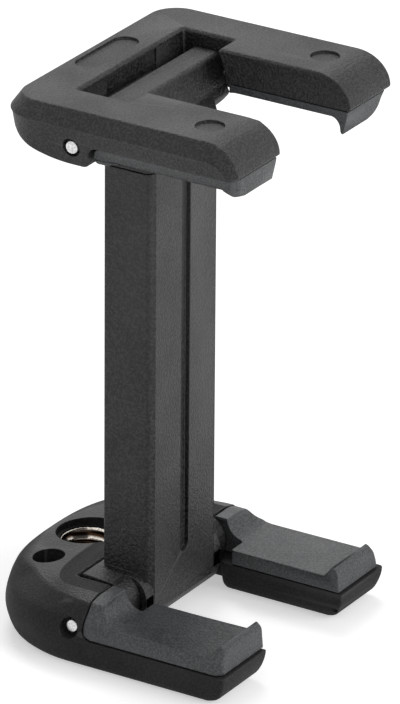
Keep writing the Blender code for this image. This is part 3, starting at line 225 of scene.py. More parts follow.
# Upper pads, as a section along Y
UPPER_PAD_REAR_Y = -4.0 * MM
UPPER_PAD_TIP_INSET = 0.35 * MM
UPPER_PAD_SIDE_INSET = 0.1 * MM
UPPER_PAD_OUTER_INSET = 0.3 * MM
UPPER_PAD_FALL = 0.052
UPPER_HUMP_HEIGHT = 0.95 * MM
UPPER_HUMP_LENGTH = 1.8 * MM
UPPER_HUMP_SCOOP = 2.2 * MM
UPPER_LIP_HEIGHT = 1.75 * MM
UPPER_LIP_LENGTH = 2.2 * MM
UPPER_LIP_LEAN = 0.65 * MM
UPPER_LIP_ROUND = 0.35 * MM
UPPER_LIP_CORNER = 1.8 * MM
UPPER_PAD_FRONT_ROUND = 1.4 * MM
UPPER_PAD_HEEL_ROUND = 1.0 * MM

# Shallow recesses of the upper jaw
RECESS_DEPTH = 0.3 * MM
DISC_SIDE_INSET = 5.24 * MM
DISC_Y = -16.2 * MM
DISC_RADIUS = 1.6 * MM
BADGE_Y = 4.15 * MM
BADGE_HALF_LENGTH = 5.1 * MM
BADGE_HALF_WIDTH = 1.5 * MM
REAR_PANEL_HALF_WIDTH = 5.0 * MM
REAR_PANEL_HEIGHT = 2.6 * MM
REAR_PANEL_DROP = 0.5 * MM

# Pins and their end holes
LOWER_PIN_RECESS = 0.6 * MM
LOWER_PIN_HOLE_RADIUS = 1.15 * MM
UPPER_PIN_HOLE_RADIUS = 1.05 * MM
PIN_HOLE_DEPTH = 0.8 * MM
PIN_CHAMFER = 0.15 * MM
KNURL_LENGTH = 2.2 * MM
KNURL_DEPTH = 0.06 * MM

# Slider rail, which sits in a socket of the head
RAIL_HALF_WIDTH = 5.1 * MM
RAIL_FRONT_Y = -4.4 * MM
RAIL_REAR_Y = -1.48 * MM
RAIL_SOCKET_DEPTH = 4.3 * MM

# Springs and the bars that they hook on
SPRING_Y = -2.55 * MM
BAR_RADIUS = 0.5 * MM
BAR_FIT = 0.06 * MM
LOWER_BAR_Z = 8.6 * MM
BAR_SEAT = 0.45 * MM

# Levels that follow from the grip and the sizes above
UPPER_PAD_Z = LOWER_PAD_Z + PAD_GAP
UPPER_PIN_Z = UPPER_PAD_Z + UPPER_PIN_OVER_PAD
UPPER_TOP_Z = UPPER_PAD_Z + UPPER_TOP_OVER_PAD
UPPER_SEAM_Z = UPPER_PAD_Z + UPPER_SEAM_OVER_PAD
UPPER_BASE_Z = UPPER_PAD_Z - UPPER_BASE_UNDER_PAD
UPPER_BAND_Z = UPPER_TOP_Z - UPPER_BAND_HEIGHT
UPPER_SEAM_HALF_WIDTH = UPPER_HALF_WIDTH - UPPER_SEAM_SIDE_INSET
UPPER_BASE_HALF_WIDTH = UPPER_HALF_WIDTH - UPPER_BASE_SIDE_INSET
KNUCKLE_HALF = SLOT_HALF - HINGE_SIDE_GAP
SLOT_REAR_Y = PIN_Y + SLOT_REAR_REACH
UNDER_HEAD_Z = UPPER_PIN_Z - UPPER_KNUCKLE_UNDER_REACH
SLEEVE_TOP_Z = UNDER_HEAD_Z - CAP_HEIGHT - CAP_SEAM
CAVITY_HALF = COLUMN_HALF_WIDTH - COLUMN_WALL
CAVITY_FRONT_Y = COLUMN_FRONT_Y + COLUMN_WALL
CAVITY_REAR_Y = COLUMN_REAR_Y - COLUMN_WALL
SHOULDER_Z = LOWER_TOP_Z - SHOULDER_DROP
FRONT_Y = min(LOWER_TIP_Y, UPPER_TIP_Y)
ORIGIN_SHIFT_Y = -(LOWER_REAR_Y + FRONT_Y) / 2

# Half lengths of the pins: the lower one ends inside its holes, the upper one flush with the jaw's sides
LOWER_PIN_HALF = LOWER_HALF_WIDTH - FLANK_LEAN * 0.12 - LOWER_PIN_RECESS
UPPER_PIN_RISE = (UPPER_PIN_Z - UPPER_BASE_Z) / (UPPER_SEAM_Z - UPPER_BASE_Z)
UPPER_PIN_HALF = UPPER_BASE_HALF_WIDTH + (UPPER_SEAM_HALF_WIDTH - UPPER_BASE_HALF_WIDTH) * UPPER_PIN_RISE

# How far a cutter runs past the face that it cuts
PAST = 2.0 * MM
WIDE = 40.0 * MM

ROUND_STEPS = 72
SMALL_ROUND_STEPS = 40
REAR_STEPS = 96
WELD = 0.002 * MM

# Steps of an arc for each step of a plain corner
FINE = 3

# Rounding of edges: widths, and distances within which points are welded before and after
LOWER_JAW_ROUND = 0.15 * MM
UPPER_JAW_ROUND = 0.14 * MM
PAD_ROUND = 0.12 * MM
COLUMN_ROUND = 0.1 * MM
RIM_ROUND = 0.07 * MM
JAW_WELD = 0.04 * MM
FINE_WELD = 0.012 * MM
LAST_WELD = 0.004 * MM

# Angles in degrees: edges that are rounded, rims of holes, faces that count as flat, creases kept crisp
SHARP_ANGLE = 28.0
RIM_ANGLE = 60.0
FLAT_ANGLE = 0.5
CREASE_ANGLE = 3.0
CREASE_REACH = 0.01 * MM

# Faults of a rounding: points thrown out and reach of a fault, in widths, and faces turned over
SOFTEN_TRIES = 5
THROWN_OUT = 0.6
FAULT_REACH = 1.5
LEAST_FACE = 0.02 * MM
TURNED_OVER = -0.2
NORMAL_WEIGHT = 80

# Finish of moulded slots: colour, roughness, grain's size and depth, gloss, spread of the grain's colour
# (with painted glints), colour of edges lit by a painted highlight and slight wear and, on the lower jaw, the
# levels of its shiny facet
MOULDED = {
    "jaw_plastic": ((0.012, 0.012, 0.0121), 0.48, 0.27 * MM, 0.13 * MM, 0.4, 0.95, (0.06, 0.06, 0.06)),
    "base_plastic": ((0.006, 0.0059, 0.006), 0.38, 0.24 * MM, 0.09 * MM, 0.3, 0.95, (0.05, 0.05, 0.05),
                     (SHOULDER_Z, LOWER_TOP_Z)),
    "grip_rubber": ((0.034, 0.0362, 0.039), 0.5, 0.22 * MM, 0.08 * MM, 0.55, 0.6, (0.07, 0.075, 0.08)),
    "acetal": ((0.55, 0.55, 0.52), 0.45, 0.3 * MM, 0.01 * MM, 0.5, 0.06, (0.6, 0.6, 0.58)),
}

# Finish of metal slots: colour, dark colour of scratches and of the painted shade in grooves, roughness, size
# of scratches, axis of the thread
METALS = {
    "bush_nickel": ((0.86, 0.8, 0.72), (0.035, 0.018, 0.01), 0.14, 0.2 * MM, BUSH_Y + ORIGIN_SHIFT_Y),
    "pin_steel": ((0.8, 0.8, 0.8), (0.2, 0.19, 0.17), 0.35, 0.25 * MM),
    "spring_steel": ((0.62, 0.62, 0.62), (0.2, 0.2, 0.2), 0.3, 0.1 * MM),
}

# Finish of moulded plastic: its clouds, its eroded grain with painted glints and how far its edges are
# lightened by slight wear and a painted highlight
CLOUD_SIZE = 7 * MM
CLOUD_STOPS = (0.3, 0.7)
CLOUD_REACH = 0.07
# Grain's tone in the colour, with painted glints of its facets: its stops and how much lighter the glints are
GRAIN_GLINT_STOPS = (0.43, 0.62)
GRAIN_ROUGHNESS = 0.6
GRAIN_GLINT_LIGHT = 1.4
# Edges turn lighter here, by slight wear and by a painted highlight where rounded edges catch the light
EDGE_WEAR_AND_HIGHLIGHT = (0.52, 0.62, 0.0, 0.7)

# Finish of metal: how dark its scratches are, and the pointiness at which painted shade fills its grooves
SCRATCH_STOPS = (0.35, 0.6)
GROOVE_SHADE_STOPS = (0.5, 0.44)
SCRATCH_DEPTH = 0.02 * MM
SCRATCH_BUMP = 0.3
SCRATCH_SHEEN = (0.6, 1.5)

# Finish of the lower jaw's plateau, and of the painted shade in the thread's grooves
DULL_ROUGHNESS = 0.34
PLATEAU_EDGE = 0.02 * MM
CREASE_EDGE = 0.25 * MM
THREAD_SHADE_START = 0.1 * MM
THREAD_SHADE_END = 0.28 * MM
THREAD_SHADE_DEPTHS = (0.1 * MM, 0.5 * MM)


def add_object(name, data):
    """New object of the scene."""
    obj = bpy.data.objects.new(name, data)
    bpy.context.scene.collection.objects.link(obj)
    return obj


def make_camera():
    """Camera at the photograph's angle."""
    azimuth, elevation, roll = map(math.radians, (CAMERA_AZIMUTH, CAMERA_ELEVATION, CAMERA_ROLL))
    back = Vector((math.sin(azimuth) * math.cos(elevation), -math.cos(azimuth) * math.cos(elevation),
                   math.sin(elevation)))
    right = Vector((math.cos(azimuth), math.sin(azimuth), 0.0))
    up = back.cross(right)
    turned_right = right * math.cos(roll) + up * math.sin(roll)
    turned_up = up * math.cos(roll) - right * math.sin(roll)
    place = Matrix((turned_right, turned_up, back)).transposed().to_4x4()
    place.translation = Vector(CAMERA_TARGET) + back * CAMERA_DISTANCE
    data = bpy.data.cameras.new("camera")
    camera = add_object("camera", data)
    camera.matrix_world = place
    data.sensor_fit = 'AUTO'
    data.sensor_width = 36.0
    data.lens = CAMERA_LENS
    data.clip_start = 0.01
    data.clip_end = 20.0
    bpy.context.scene.camera = camera


def add_lamp(name, place, side, power):
    """Square lamp that shines on the clamp's lower half."""
    data = bpy.data.lights.new(name, 'AREA')
    data.shape = 'RECTANGLE'
    data.size = data.size_y = side
    data.energy = power
    lamp = add_object(name, data)
    lamp.location = place
    lamp.rotation_euler = (Vector(LAMP_AIM) - Vector(place)).to_track_quat('-Z', 'Y').to_euler()


def fill(tree, node, inputs):
    """Set a node's inputs to values, or link them to other nodes' outputs."""
    for name, value in inputs.items():
        if isinstance(value, bpy.types.NodeSocket):
            tree.links.new(value, node.inputs[name])
        else:
            node.inputs[name].default_value = value
    return node


def add_node(tree, kind, inputs, output=0, **settings):
    """Output of a new node."""
    node = tree.nodes.new("ShaderNode" + kind)
    for name, value in settings.items():
        setattr(node, name, value)
    return fill(tree, node, inputs).outputs[output]


def new_material(name):
    """Material with nodes, its node tree and its shader."""
    material = bpy.data.materials.new(name)
    material.use_nodes = True
    return material, material.node_tree, material.node_tree.nodes["Principled BSDF"]


def seen_ray(tree):
    """Value that is 1 for camera, glossy and transmission rays."""
    path = tree.nodes.new("ShaderNodeLightPath")
    total = path.outputs["Is Camera Ray"]
    for name in ("Is Glossy Ray", "Is Transmission Ray"):
        total = add_node(tree, "Math", {0: total, 1: path.outputs[name]}, operation='MAXIMUM')
    return total


def make_world():
    """White world whose light is softer than it looks."""
    world = bpy.data.worlds.new("studio")
    bpy.context.scene.world = world
    world.use_nodes = True
    tree = world.node_tree
    strength = add_node(tree, "Mix", {"Factor": seen_ray(tree), "A": AMBIENT, "B": 1.0}, "Result")
    fill(tree, tree.nodes["Background"], {"Color": (1.0, 1.0, 1.0, 1.0), "Strength": strength})


def make_floor():
    """Pale paper under the clamp, seen through from below."""
    mesh = bpy.data.meshes.new("floor")
    corners = [(x, y, 0.0) for x, y in rectangle(FLOOR_HALF, -FLOOR_HALF, FLOOR_HALF)]
    mesh.from_pydata(corners, [], [(0, 1, 2, 3)])
    floor = add_object("floor", mesh)
    floor.location.z = -FLOOR_DROP
    material, tree, paper = new_material("floor_paper")
    fill(tree, paper, {
        "Base Color": (FLOOR_GREY, FLOOR_GREY, FLOOR_GREY, 1.0),
        "Roughness": 1.0,
        "Specular IOR Level": 0.0,
        "Emission Color": (1.0, 1.0, 1.0, 1.0),
        "Emission Strength": add_node(tree, "Math", {0: seen_ray(tree), 1: FLOOR_GLOW}, operation='MULTIPLY'),
    })
    surface = add_node(tree, "MixShader", {
        0: add_node(tree, "NewGeometry", {}, "Backfacing"),
        1: paper.outputs[0],
        2: add_node(tree, "BsdfTransparent", {}),
    })
    fill(tree, tree.nodes["Material Output"], {"Surface": surface})
    mesh.materials.append(material)


def noise(tree, place, size, detail, roughness=0.5):
    """Noise with grains of a size."""
    return add_node(tree, "TexNoise", {"Vector": place, "Scale": 1.0 / size, "Detail": detail,
                                       "Roughness": roughness}, "Fac")


def ramp(tree, value, stops, colours):
    """Colour that runs from one to another between two stops of a value."""
    node = fill(tree, tree.nodes.new("ShaderNodeValToRGB"), {"Fac": value})
    for element, stop, colour in zip(node.color_ramp.elements, stops, colours):
        element.position = stop
        element.color = (*colour, 1.0)
    return node.outputs["Color"]


def mapped(tree, value, start, end, low=0.0, high=1.0):
    """Value that runs from low to high as another runs from start to end."""
    return add_node(tree, "MapRange", {"Value": value, "From Min": start, "From Max": end, "To Min": low,
                                       "To Max": high}, "Result")


def place_z(tree, place):
    """Height of a point on the piece."""
    return add_node(tree, "SeparateXYZ", {"Vector": place}, "Z")


def pointiness(tree):
    """How far the surface stands out at an edge or falls back in a groove."""
    return add_node(tree, "NewGeometry", {}, "Pointiness")


def mixed(tree, share, start, end):
    """Mix of two colours."""
    return add_node(tree, "Mix", {"Factor": share, "A": start, "B": end}, "Result", data_type='RGBA')


def grained(name, colour, roughness, grain_size, grain_depth, gloss, glint_speckle, worn_and_lit_edge, facet=None):
    """Moulded surface: eroded grain in its bump, and in its colour with painted glints, a cloudy sheen, and
    edges lightened by slight wear and a painted highlight.

    Only the facet between a crease and the plateau above it is shiny. The rest is coarser and duller.
    """
    material, tree, shader = new_material(name)
    place = add_node(tree, "TexCoord", {}, "Object")
    grain = noise(tree, place, grain_size, 2.0, GRAIN_ROUGHNESS)
    # Grain's tone with painted glints: the colour runs darker and lighter with the grain
    grain_glint_tones = [[c * share for c in colour] for share in (1.0 - glint_speckle, 1.0 + glint_speckle * GRAIN_GLINT_LIGHT)]
    # Painted highlight on convex edges, with slight wear: they are mixed towards the lighter edge colour
    edge = mapped(tree, pointiness(tree), *EDGE_WEAR_AND_HIGHLIGHT)
    sheen = mapped(tree, noise(tree, place, CLOUD_SIZE, 2.0), *CLOUD_STOPS, roughness - CLOUD_REACH,
                   roughness + CLOUD_REACH)
    if facet is not None:
        level = place_z(tree, place)
        dull = add_node(tree, "Math", {0: mapped(tree, level, facet[1] - PLATEAU_EDGE, facet[1]),
                                       1: mapped(tree, level, facet[0], facet[0] - CREASE_EDGE)})
        sheen = add_node(tree, "Math", {0: dull, 1: DULL_ROUGHNESS, 2: sheen}, operation='MULTIPLY_ADD')
    fill(tree, shader, {
        "Specular IOR Level": gloss,
        "Base Color": mixed(tree, edge, ramp(tree, grain, GRAIN_GLINT_STOPS, grain_glint_tones), (*worn_and_lit_edge, 1.0)),
        "Roughness": sheen,
        "Normal": add_node(tree, "Bump", {"Distance": grain_depth, "Height": grain}, "Normal"),
    })
    return material


def thread_groove_shade(tree, place, axis_y):
    """Share of the painted shade in the grooves of the bush's thread, below its ring, growing down the bore.
    """
    flat = add_node(tree, "VectorMath", {0: place, 1: (1.0, 1.0, 0.0), 2: (0.0, -axis_y, 0.0)},
                    operation='MULTIPLY_ADD')
    radius = add_node(tree, "VectorMath", {0: flat}, "Value", operation='LENGTH')
    deep = mapped(tree, radius, THREAD_MINOR_RADIUS + THREAD_SHADE_START,
                  THREAD_MINOR_RADIUS + THREAD_SHADE_END)
    start, end = (LOWER_TOP_Z - BUSH_TOP_DEPTH - depth for depth in THREAD_SHADE_DEPTHS)
    low = mapped(tree, place_z(tree, place), start, end)
    return add_node(tree, "Math", {0: deep, 1: low}, operation='MULTIPLY')


def metal(name, colour, dark, roughness, scratch_size, axis_y=None):
    """Turned or plated metal with fine scratches in its sheen, and painted shade in its grooves or in its
    thread's.
    """
    material, tree, shader = new_material(name)
    place = add_node(tree, "TexCoord", {}, "Object")
    scratch = noise(tree, place, scratch_size, 4.0)
    # Painted shade: grooves, or the thread's roots deeper down the bore, are mixed towards the dark colour
    if axis_y is None:
        groove_shade = mapped(tree, pointiness(tree), *GROOVE_SHADE_STOPS)
    else:
        groove_shade = thread_groove_shade(tree, place, axis_y)
    dim = [(c + d) / 2 for c, d in zip(colour, dark)]
    fill(tree, shader, {
        "Metallic": 1.0,
        "Base Color": mixed(tree, groove_shade, ramp(tree, scratch, SCRATCH_STOPS, (dim, colour)), (*dark, 1.0)),
        "Roughness": mapped(tree, scratch, 0.0, 1.0, *[roughness * share for share in SCRATCH_SHEEN]),
        "Normal": add_node(tree, "Bump", {"Strength": SCRATCH_BUMP, "Distance": SCRATCH_DEPTH,
                                          "Height": scratch}, "Normal"),
    })
    return material


def rectangle(half_width, front_y, rear_y):
    """Corners of a plan that is as wide on both sides."""
    return [(-half_width, front_y), (half_width, front_y), (half_width, rear_y), (-half_width, rear_y)]


def both_sides(half_outline):
    """Corners (u, v, radius, steps) on the left, and the same ones mirrored on the right."""
    return half_outline + [(-u, *rest) for u, *rest in reversed(half_outline)]


def rounded(corners):
    """Closed outline through corners (u, v, radius, steps), each turned by an arc of its radius."""
    outline = []
    for index, (u, v, radius, steps) in enumerate(corners):
        corner = Vector((u, v))
        if radius == 0:
            outline.append((u, v))
            continue
        steps *= FINE
        before = (Vector(corners[index - 1][:2]) - corner).normalized()
        after = (Vector(corners[(index + 1) % len(corners)][:2]) - corner).normalized()
        half = before.angle(after) / 2
        centre = corner + (before + after).normalized() * (radius / math.sin(half))
        start = corner + before * (radius / math.tan(half)) - centre
        end = corner + after * (radius / math.tan(half)) - centre
        first = math.atan2(start.y, start.x)
        turn = math.atan2(start.cross(end), start.dot(end))
        for step in range(steps + 1):
            angle = first + turn * step / steps
            outline.append((centre.x + radius * math.cos(angle), centre.y + radius * math.sin(angle)))
    return outline


def arc(centre, radii, start, end, steps):
    """Points of an elliptic arc from one angle to another, in degrees."""
    points = []
    steps *= FINE
    for step in range(steps + 1):
        angle = math.radians(start + (end - start) * step / steps)
        points.append((centre[0] + radii[0] * math.cos(angle), centre[1] + radii[1] * math.sin(angle)))
    return points


def circle(centre, radius, start, end, steps):
    """Points of a round arc."""
    return arc(centre, (radius, radius), start, end, steps)


def plain(points):
    """Points as corners that are not rounded."""
    return [(u, v, 0, 0) for u, v in points]


def finish_mesh(shape, matrix=None):
    """Object of a mesh with its faces turned outward."""
    if matrix is not None:
        bmesh.ops.transform(shape, matrix=matrix, verts=shape.verts)
    bmesh.ops.recalc_face_normals(shape, faces=shape.faces)
    mesh = bpy.data.meshes.new("form")
    shape.to_mesh(mesh)
    shape.free()
    return add_object("form", mesh)


def prism(outline, low, high, axis):
    """Flat outline extruded from low to high along an axis.

    The outline is (x, y) along Z, (y, z) along X and (x, z) along Y.
    """
    curve = bpy.data.curves.new("outline", 'CURVE')
    curve.dimensions = '2D'
    curve.fill_mode = 'BOTH'
    curve.extrude = (high - low) / 2
    spline = curve.splines.new('POLY')
    spline.points.add(len(outline) - 1)
    for point, (u, v) in zip(spline.points, outline):
        point.co = (u, v, 0.0, 1.0)
    spline.use_cyclic_u = True
    holder = add_object("outline", curve)
    holder.location['XYZ'.index(axis)] = (low + high) / 2
    if axis != 'Z':
        holder.rotation_euler.x = math.pi / 2
    if axis == 'X':
        holder.rotation_euler.z = math.pi / 2
    bpy.context.view_layer.update()
    graph = bpy.context.evaluated_depsgraph_get()
    mesh = bpy.data.meshes.new_from_object(holder.evaluated_get(graph))
    shape = bmesh.new()
    shape.from_mesh(mesh)
    bmesh.ops.remove_doubles(shape, verts=shape.verts, dist=WELD)
    bmesh.ops.recalc_face_normals(shape, faces=shape.faces)
    shape.to_mesh(mesh)
    shape.free()
    obj = add_object("form", mesh)
    obj.matrix_world = holder.matrix_world
    bpy.data.objects.remove(holder)
    return obj


def skin(shape, loops):
    """Faces between each loop of points and the next."""
    for lower, upper in zip(loops, loops[1:]):
        for index in range(len(lower)):
            after = (index + 1) % len(lower)
            shape.faces.new((lower[index], lower[after], upper[after], upper[index]))


def loft(rings):
    """Closed solid skinned over rings of points, which all have as many points as the first."""
    shape = bmesh.new()
    loops = [[shape.verts.new(point) for point in ring] for ring in rings]
    skin(shape, loops)
    shape.faces.new(loops[0])
    shape.faces.new(loops[-1])
    return finish_mesh(shape)


def rod(radius, start, end, steps=ROUND_STEPS):
    """Round bar from one point to another."""
    start, end = Vector(start), Vector(end)
    along = end - start
    shape = bmesh.new()
    bmesh.ops.create_cone(shape, cap_ends=True, segments=steps, radius1=radius, radius2=radius,
                          depth=along.length)
    turn = Vector((0.0, 0.0, 1.0)).rotation_difference(along).to_matrix().to_4x4()
    return finish_mesh(shape, Matrix.Translation((start + end) / 2) @ turn)


def cross_rod(radius, x_start, x_end, z, y=PIN_Y, steps=SMALL_ROUND_STEPS):
    """Round bar across the clamp, on the hinges' line unless another is given."""
    return rod(radius, (x_start, y, z), (x_end, y, z), steps)


def pin_bore(z):
    """Cutter of the hole for a hinge pin."""
    return cross_rod(PIN_RADIUS + PIN_FIT, -WIDE, WIDE, z)


def post(x, y, radius, low, high, steps=ROUND_STEPS):
    """Upright round bar."""
    return rod(radius, (x, y, low), (x, y, high), steps)


def box(low, high):
    """Plain block between two corners."""
    shape = bmesh.new()
    bmesh.ops.create_cube(shape, size=1.0)
    size = Vector(high) - Vector(low)
    middle = (Vector(high) + Vector(low)) / 2
    return finish_mesh(shape, Matrix.Translation(middle) @ Matrix.Diagonal((*size, 1.0)))


def combine(body, tools, operation):
    """Boolean of a body with tools, which it uses up."""
    for tool in tools:
        modifier = body.modifiers.new("boolean", 'BOOLEAN')
        modifier.operation = operation
        modifier.solver = 'EXACT'
        modifier.object = tool
        bpy.context.view_layer.update()
        graph = bpy.context.evaluated_depsgraph_get()
        mesh = bpy.data.meshes.new_from_object(body.evaluated_get(graph))
        body.modifiers.clear()
        body.data = mesh
        bpy.data.objects.remove(tool)
    return body


def cut(body, *tools):
    """The body less the tools."""
    return combine(body, tools, 'DIFFERENCE')


def join(body, *tools):
    """The body and the tools as one."""
    return combine(body, tools, 'UNION')


def trim(body, *tools):
    """What the body and the tools share."""
    return combine(body, tools, 'INTERSECT')


def lower_ring(half_width, front_y, rear_y, curve_y, fullness, tip_round, z):
    """Level outline of the lower jaw: nearly square in front, one full curve round its rear."""
    outline = rounded(both_sides([(-half_width, curve_y, 0, 0), (-half_width, front_y, tip_round, 4)]))
    for step in range(1, REAR_STEPS):
        angle = math.pi * step / REAR_STEPS
        across = abs(math.cos(angle)) ** (2 / fullness)
        back = math.sin(angle) ** (2 / fullness)
        outline.append((math.copysign(across, math.cos(angle)) * half_width,
                        curve_y + (rear_y - curve_y) * back))
    return [(x, y, z) for x, y in outline]


def faded(flank_ring, back_ring):
    """Outline that follows one ring along the flanks and passes into the other round the rear."""
    straight = len(flank_ring) - (REAR_STEPS - 1)
    ring = []
    for index, (flank, back) in enumerate(zip(flank_ring, back_ring)):
        turn = 180.0 * max(index - straight + 1, 0) / REAR_STEPS
        share = (min(turn, 180.0 - turn) - CREASE_FADE_START) / (CREASE_FADE_END - CREASE_FADE_START)
        ring.append(tuple(Vector(flank).lerp(Vector(back), min(max(share, 0.0), 1.0))))
    return ring


def between(rings, steps):
    """The rings with others added between them, on smooth curves through their points."""
    last = len(rings) - 1
    smooth = []
    for index in range(last):
        near = [rings[max(index - 1, 0)], rings[index], rings[index + 1], rings[min(index + 2, last)]]
        for step in range(steps):
            t = step / steps
            ring = []
            for before, start, end, after in zip(*near):
                before, start, end, after = Vector(before), Vector(start), Vector(end), Vector(after)
                ring.append(tuple(start + (end - before) * (t / 2)
                                  + (2 * before - 5 * start + 4 * end - after) * (t * t / 2)
                                  + (3 * start - before - 3 * end + after) * (t * t * t / 2)))
            smooth.append(ring)
    return smooth + [rings[-1]]


def lower_form(inset, tip, tip_round):
    """Outer form of the lower jaw: rounded foot, full sides, creased shoulder and a flat plateau."""
    half, rear = LOWER_HALF_WIDTH - inset, LOWER_REAR_Y
    curve_y, fullness = LOWER_REAR_CURVE_Y, LOWER_REAR_FULLNESS
    rise = SHOULDER_Z - LOWER_PAD_Z

    def leaning(side_share, rear_share, curve_share, full_share, height_share):
        return lower_ring(
            half - FLANK_LEAN * side_share, tip, rear - REAR_LEAN * rear_share,
            curve_y + (SHOULDER_CURVE_Y - curve_y) * curve_share,
            fullness + (SHOULDER_FULLNESS - fullness) * full_share, tip_round,
            LOWER_PAD_Z + rise * height_share,
        )

    rings = []
    for share, height in ((1.0, 0.0), (0.42, 0.33), (0.1, 1.0), (0.0, LOWER_SEAM_Z / FOOT_RISE)):
        rings.append(lower_ring(half - FOOT_SIDE_INSET * share, tip + FOOT_FRONT_INSET * share,
                                rear - FOOT_REAR_INSET * share, curve_y,
                                fullness + (FOOT_REAR_FULLNESS - fullness) * share, tip_round,
                                FOOT_RISE * height))
    rings.append(leaning(0.26, 0.15, 0.0, 0.0, 0.0))
    rings.append(faded(leaning(0.58, 0.36, 0.48, 0.55, 0.457), leaning(0.605, 0.27, 0.0, 0.0, 0.457)))
    rings.append(faded(leaning(0.83, 0.71, 0.91, 0.91, 0.82), leaning(0.88, 0.54, 0.0, 0.0, 0.82)))
    rings.append(leaning(1.0, 1.0, 1.0, 1.0, 1.0))
    rings = [[(min(max(x, -half), half), y, z) for x, y, z in ring] for ring in between(rings, 4)]
    rings.append(lower_ring(half - PLATEAU_SIDE_INSET, tip, PLATEAU_REAR_Y, curve_y, PLATEAU_FULLNESS,
                            tip_round, LOWER_TOP_Z))
    return loft(rings)


def slot_cutter(gap_half, outer_round, levels):
    """Cutter of a jaw's T-shaped slot from levels of (shoulder reach, height, spread, flare), upward."""
    rings = []
    for shoulder_reach, z, spread, flare in levels:
        wide = SLOT_HALF + spread + flare * 0.6
        narrow = gap_half + spread + flare
        shoulder = PIN_Y - shoulder_reach - spread
        outline = rounded(both_sides([
            (-wide, SLOT_REAR_Y + spread, SLOT_INNER_ROUND, 3),
            (-wide, shoulder, SLOT_INNER_ROUND, 3),
            (-narrow, shoulder, outer_round, 3),
            (-narrow, -WIDE, 0, 0),
        ]))
        rings.append([(x, y, z) for x, y in outline])
    return loft(rings)


def lower_slot():
    """Cutter of the lower jaw's slot, which is flared at its rounded foot and has a chamfered rim."""
    reach, flare, top = SLOT_FRONT_REACH, LOWER_SLOT_FLARE, LOWER_TOP_Z
    levels = [(reach, -PAST, 0.0, flare)]
    for share, rise in ((1.0, 0.0), (0.78, 0.1), (0.6, 0.2), (0.42, 0.33), (0.28, 0.5), (0.16, 0.75),
                        (0.1, 1.0), (0.03, 1.25), (0.0, 1.5)):
        levels.append((reach, FOOT_RISE * rise, 0.0, flare * share))
    levels += [(reach, top - SLOT_RIM, 0.0, 0.0), (reach, top + PAST, SLOT_RIM + PAST, 0.0)]
    return slot_cutter(LOWER_ARM_GAP_HALF, LOWER_SLOT_OUTER_ROUND, levels)


def upper_slot():
    """Cutter of the upper jaw's slot, whose shoulders lean forward from the top down to the pads."""
    reach, lean, top = UPPER_SLOT_REACH, UPPER_SLOT_LEAN, UPPER_TOP_Z
    rim_share = SLOT_RIM / (top - UPPER_SEAM_Z)
    return slot_cutter(UPPER_ARM_GAP_HALF, PAD_SLOT_ROUND, [
        (reach + lean, UPPER_BASE_Z - PAST, 0.0, 0.0),
        (reach + lean, UPPER_SEAM_Z, 0.0, 0.0),
        (reach + lean * rim_share, top - SLOT_RIM, 0.0, 0.0),
        (reach, top + PAST, SLOT_RIM + PAST, 0.0),
    ])


def pad_slot(gap_half, reach, foot_z, top_z):
    """Cutter of the straight slot between two pads."""
    return slot_cutter(gap_half, PAD_SLOT_ROUND, [(reach, foot_z, 0.0, 0.0), (reach, top_z, 0.0, 0.0)])


def make_bottom_jaw_body():
    """Lower jaw with its slot, its seats for the pads and its holes."""
    body = lower_form(0.0, LOWER_TIP_Y, LOWER_TIP_ROUND)
    seat_z = LOWER_SEAM_Z - PAD_SEAM
    seat_rear = LOWER_PAD_REAR_Y + PAD_SEAM
    high = LOWER_TOP_Z + PAST
    seat = prism(rounded([
        (seat_rear, high, 0, 0),
        (-WIDE, high, 0, 0),
        (-WIDE, seat_z, 0, 0),
        (seat_rear, seat_z, LOWER_PAD_HEEL_ROUND + PAD_SEAM, 5),
    ]), -WIDE, WIDE, 'X')
    soften(cut(body, seat, lower_slot()), LOWER_JAW_ROUND, JAW_WELD)
    bush_top = LOWER_TOP_Z - BUSH_TOP_DEPTH
    cut(
        body,
        post(0, BUSH_Y, BUSH_RADIUS + SEAT_FIT, -PAST, bush_top - BUSH_NECK_HEIGHT + SEAT_FIT),
        post(0, BUSH_Y, BUSH_NECK_RADIUS + SEAT_FIT, 0, high),
        post(0, BUSH_Y, BUSH_WELL_RADIUS, bush_top + SEAT_FIT, high, 32),
        post(SIDE_HOLE_X, SIDE_HOLE_Y, SIDE_HOLE_RADIUS, -PAST, high),
        pin_bore(LOWER_PIN_Z),
    )
    inner_end = LOWER_PIN_HALF - PIN_HOLE_DEPTH / 2
    for sign in (-1, 1):
        cut(body, cross_rod(LOWER_PIN_HOLE_RADIUS, sign * inner_end, sign * WIDE, LOWER_PIN_Z))
    return soften(body, RIM_ROUND, FINE_WELD, RIM_ANGLE, (SHOULDER_Z, LOWER_TOP_Z))


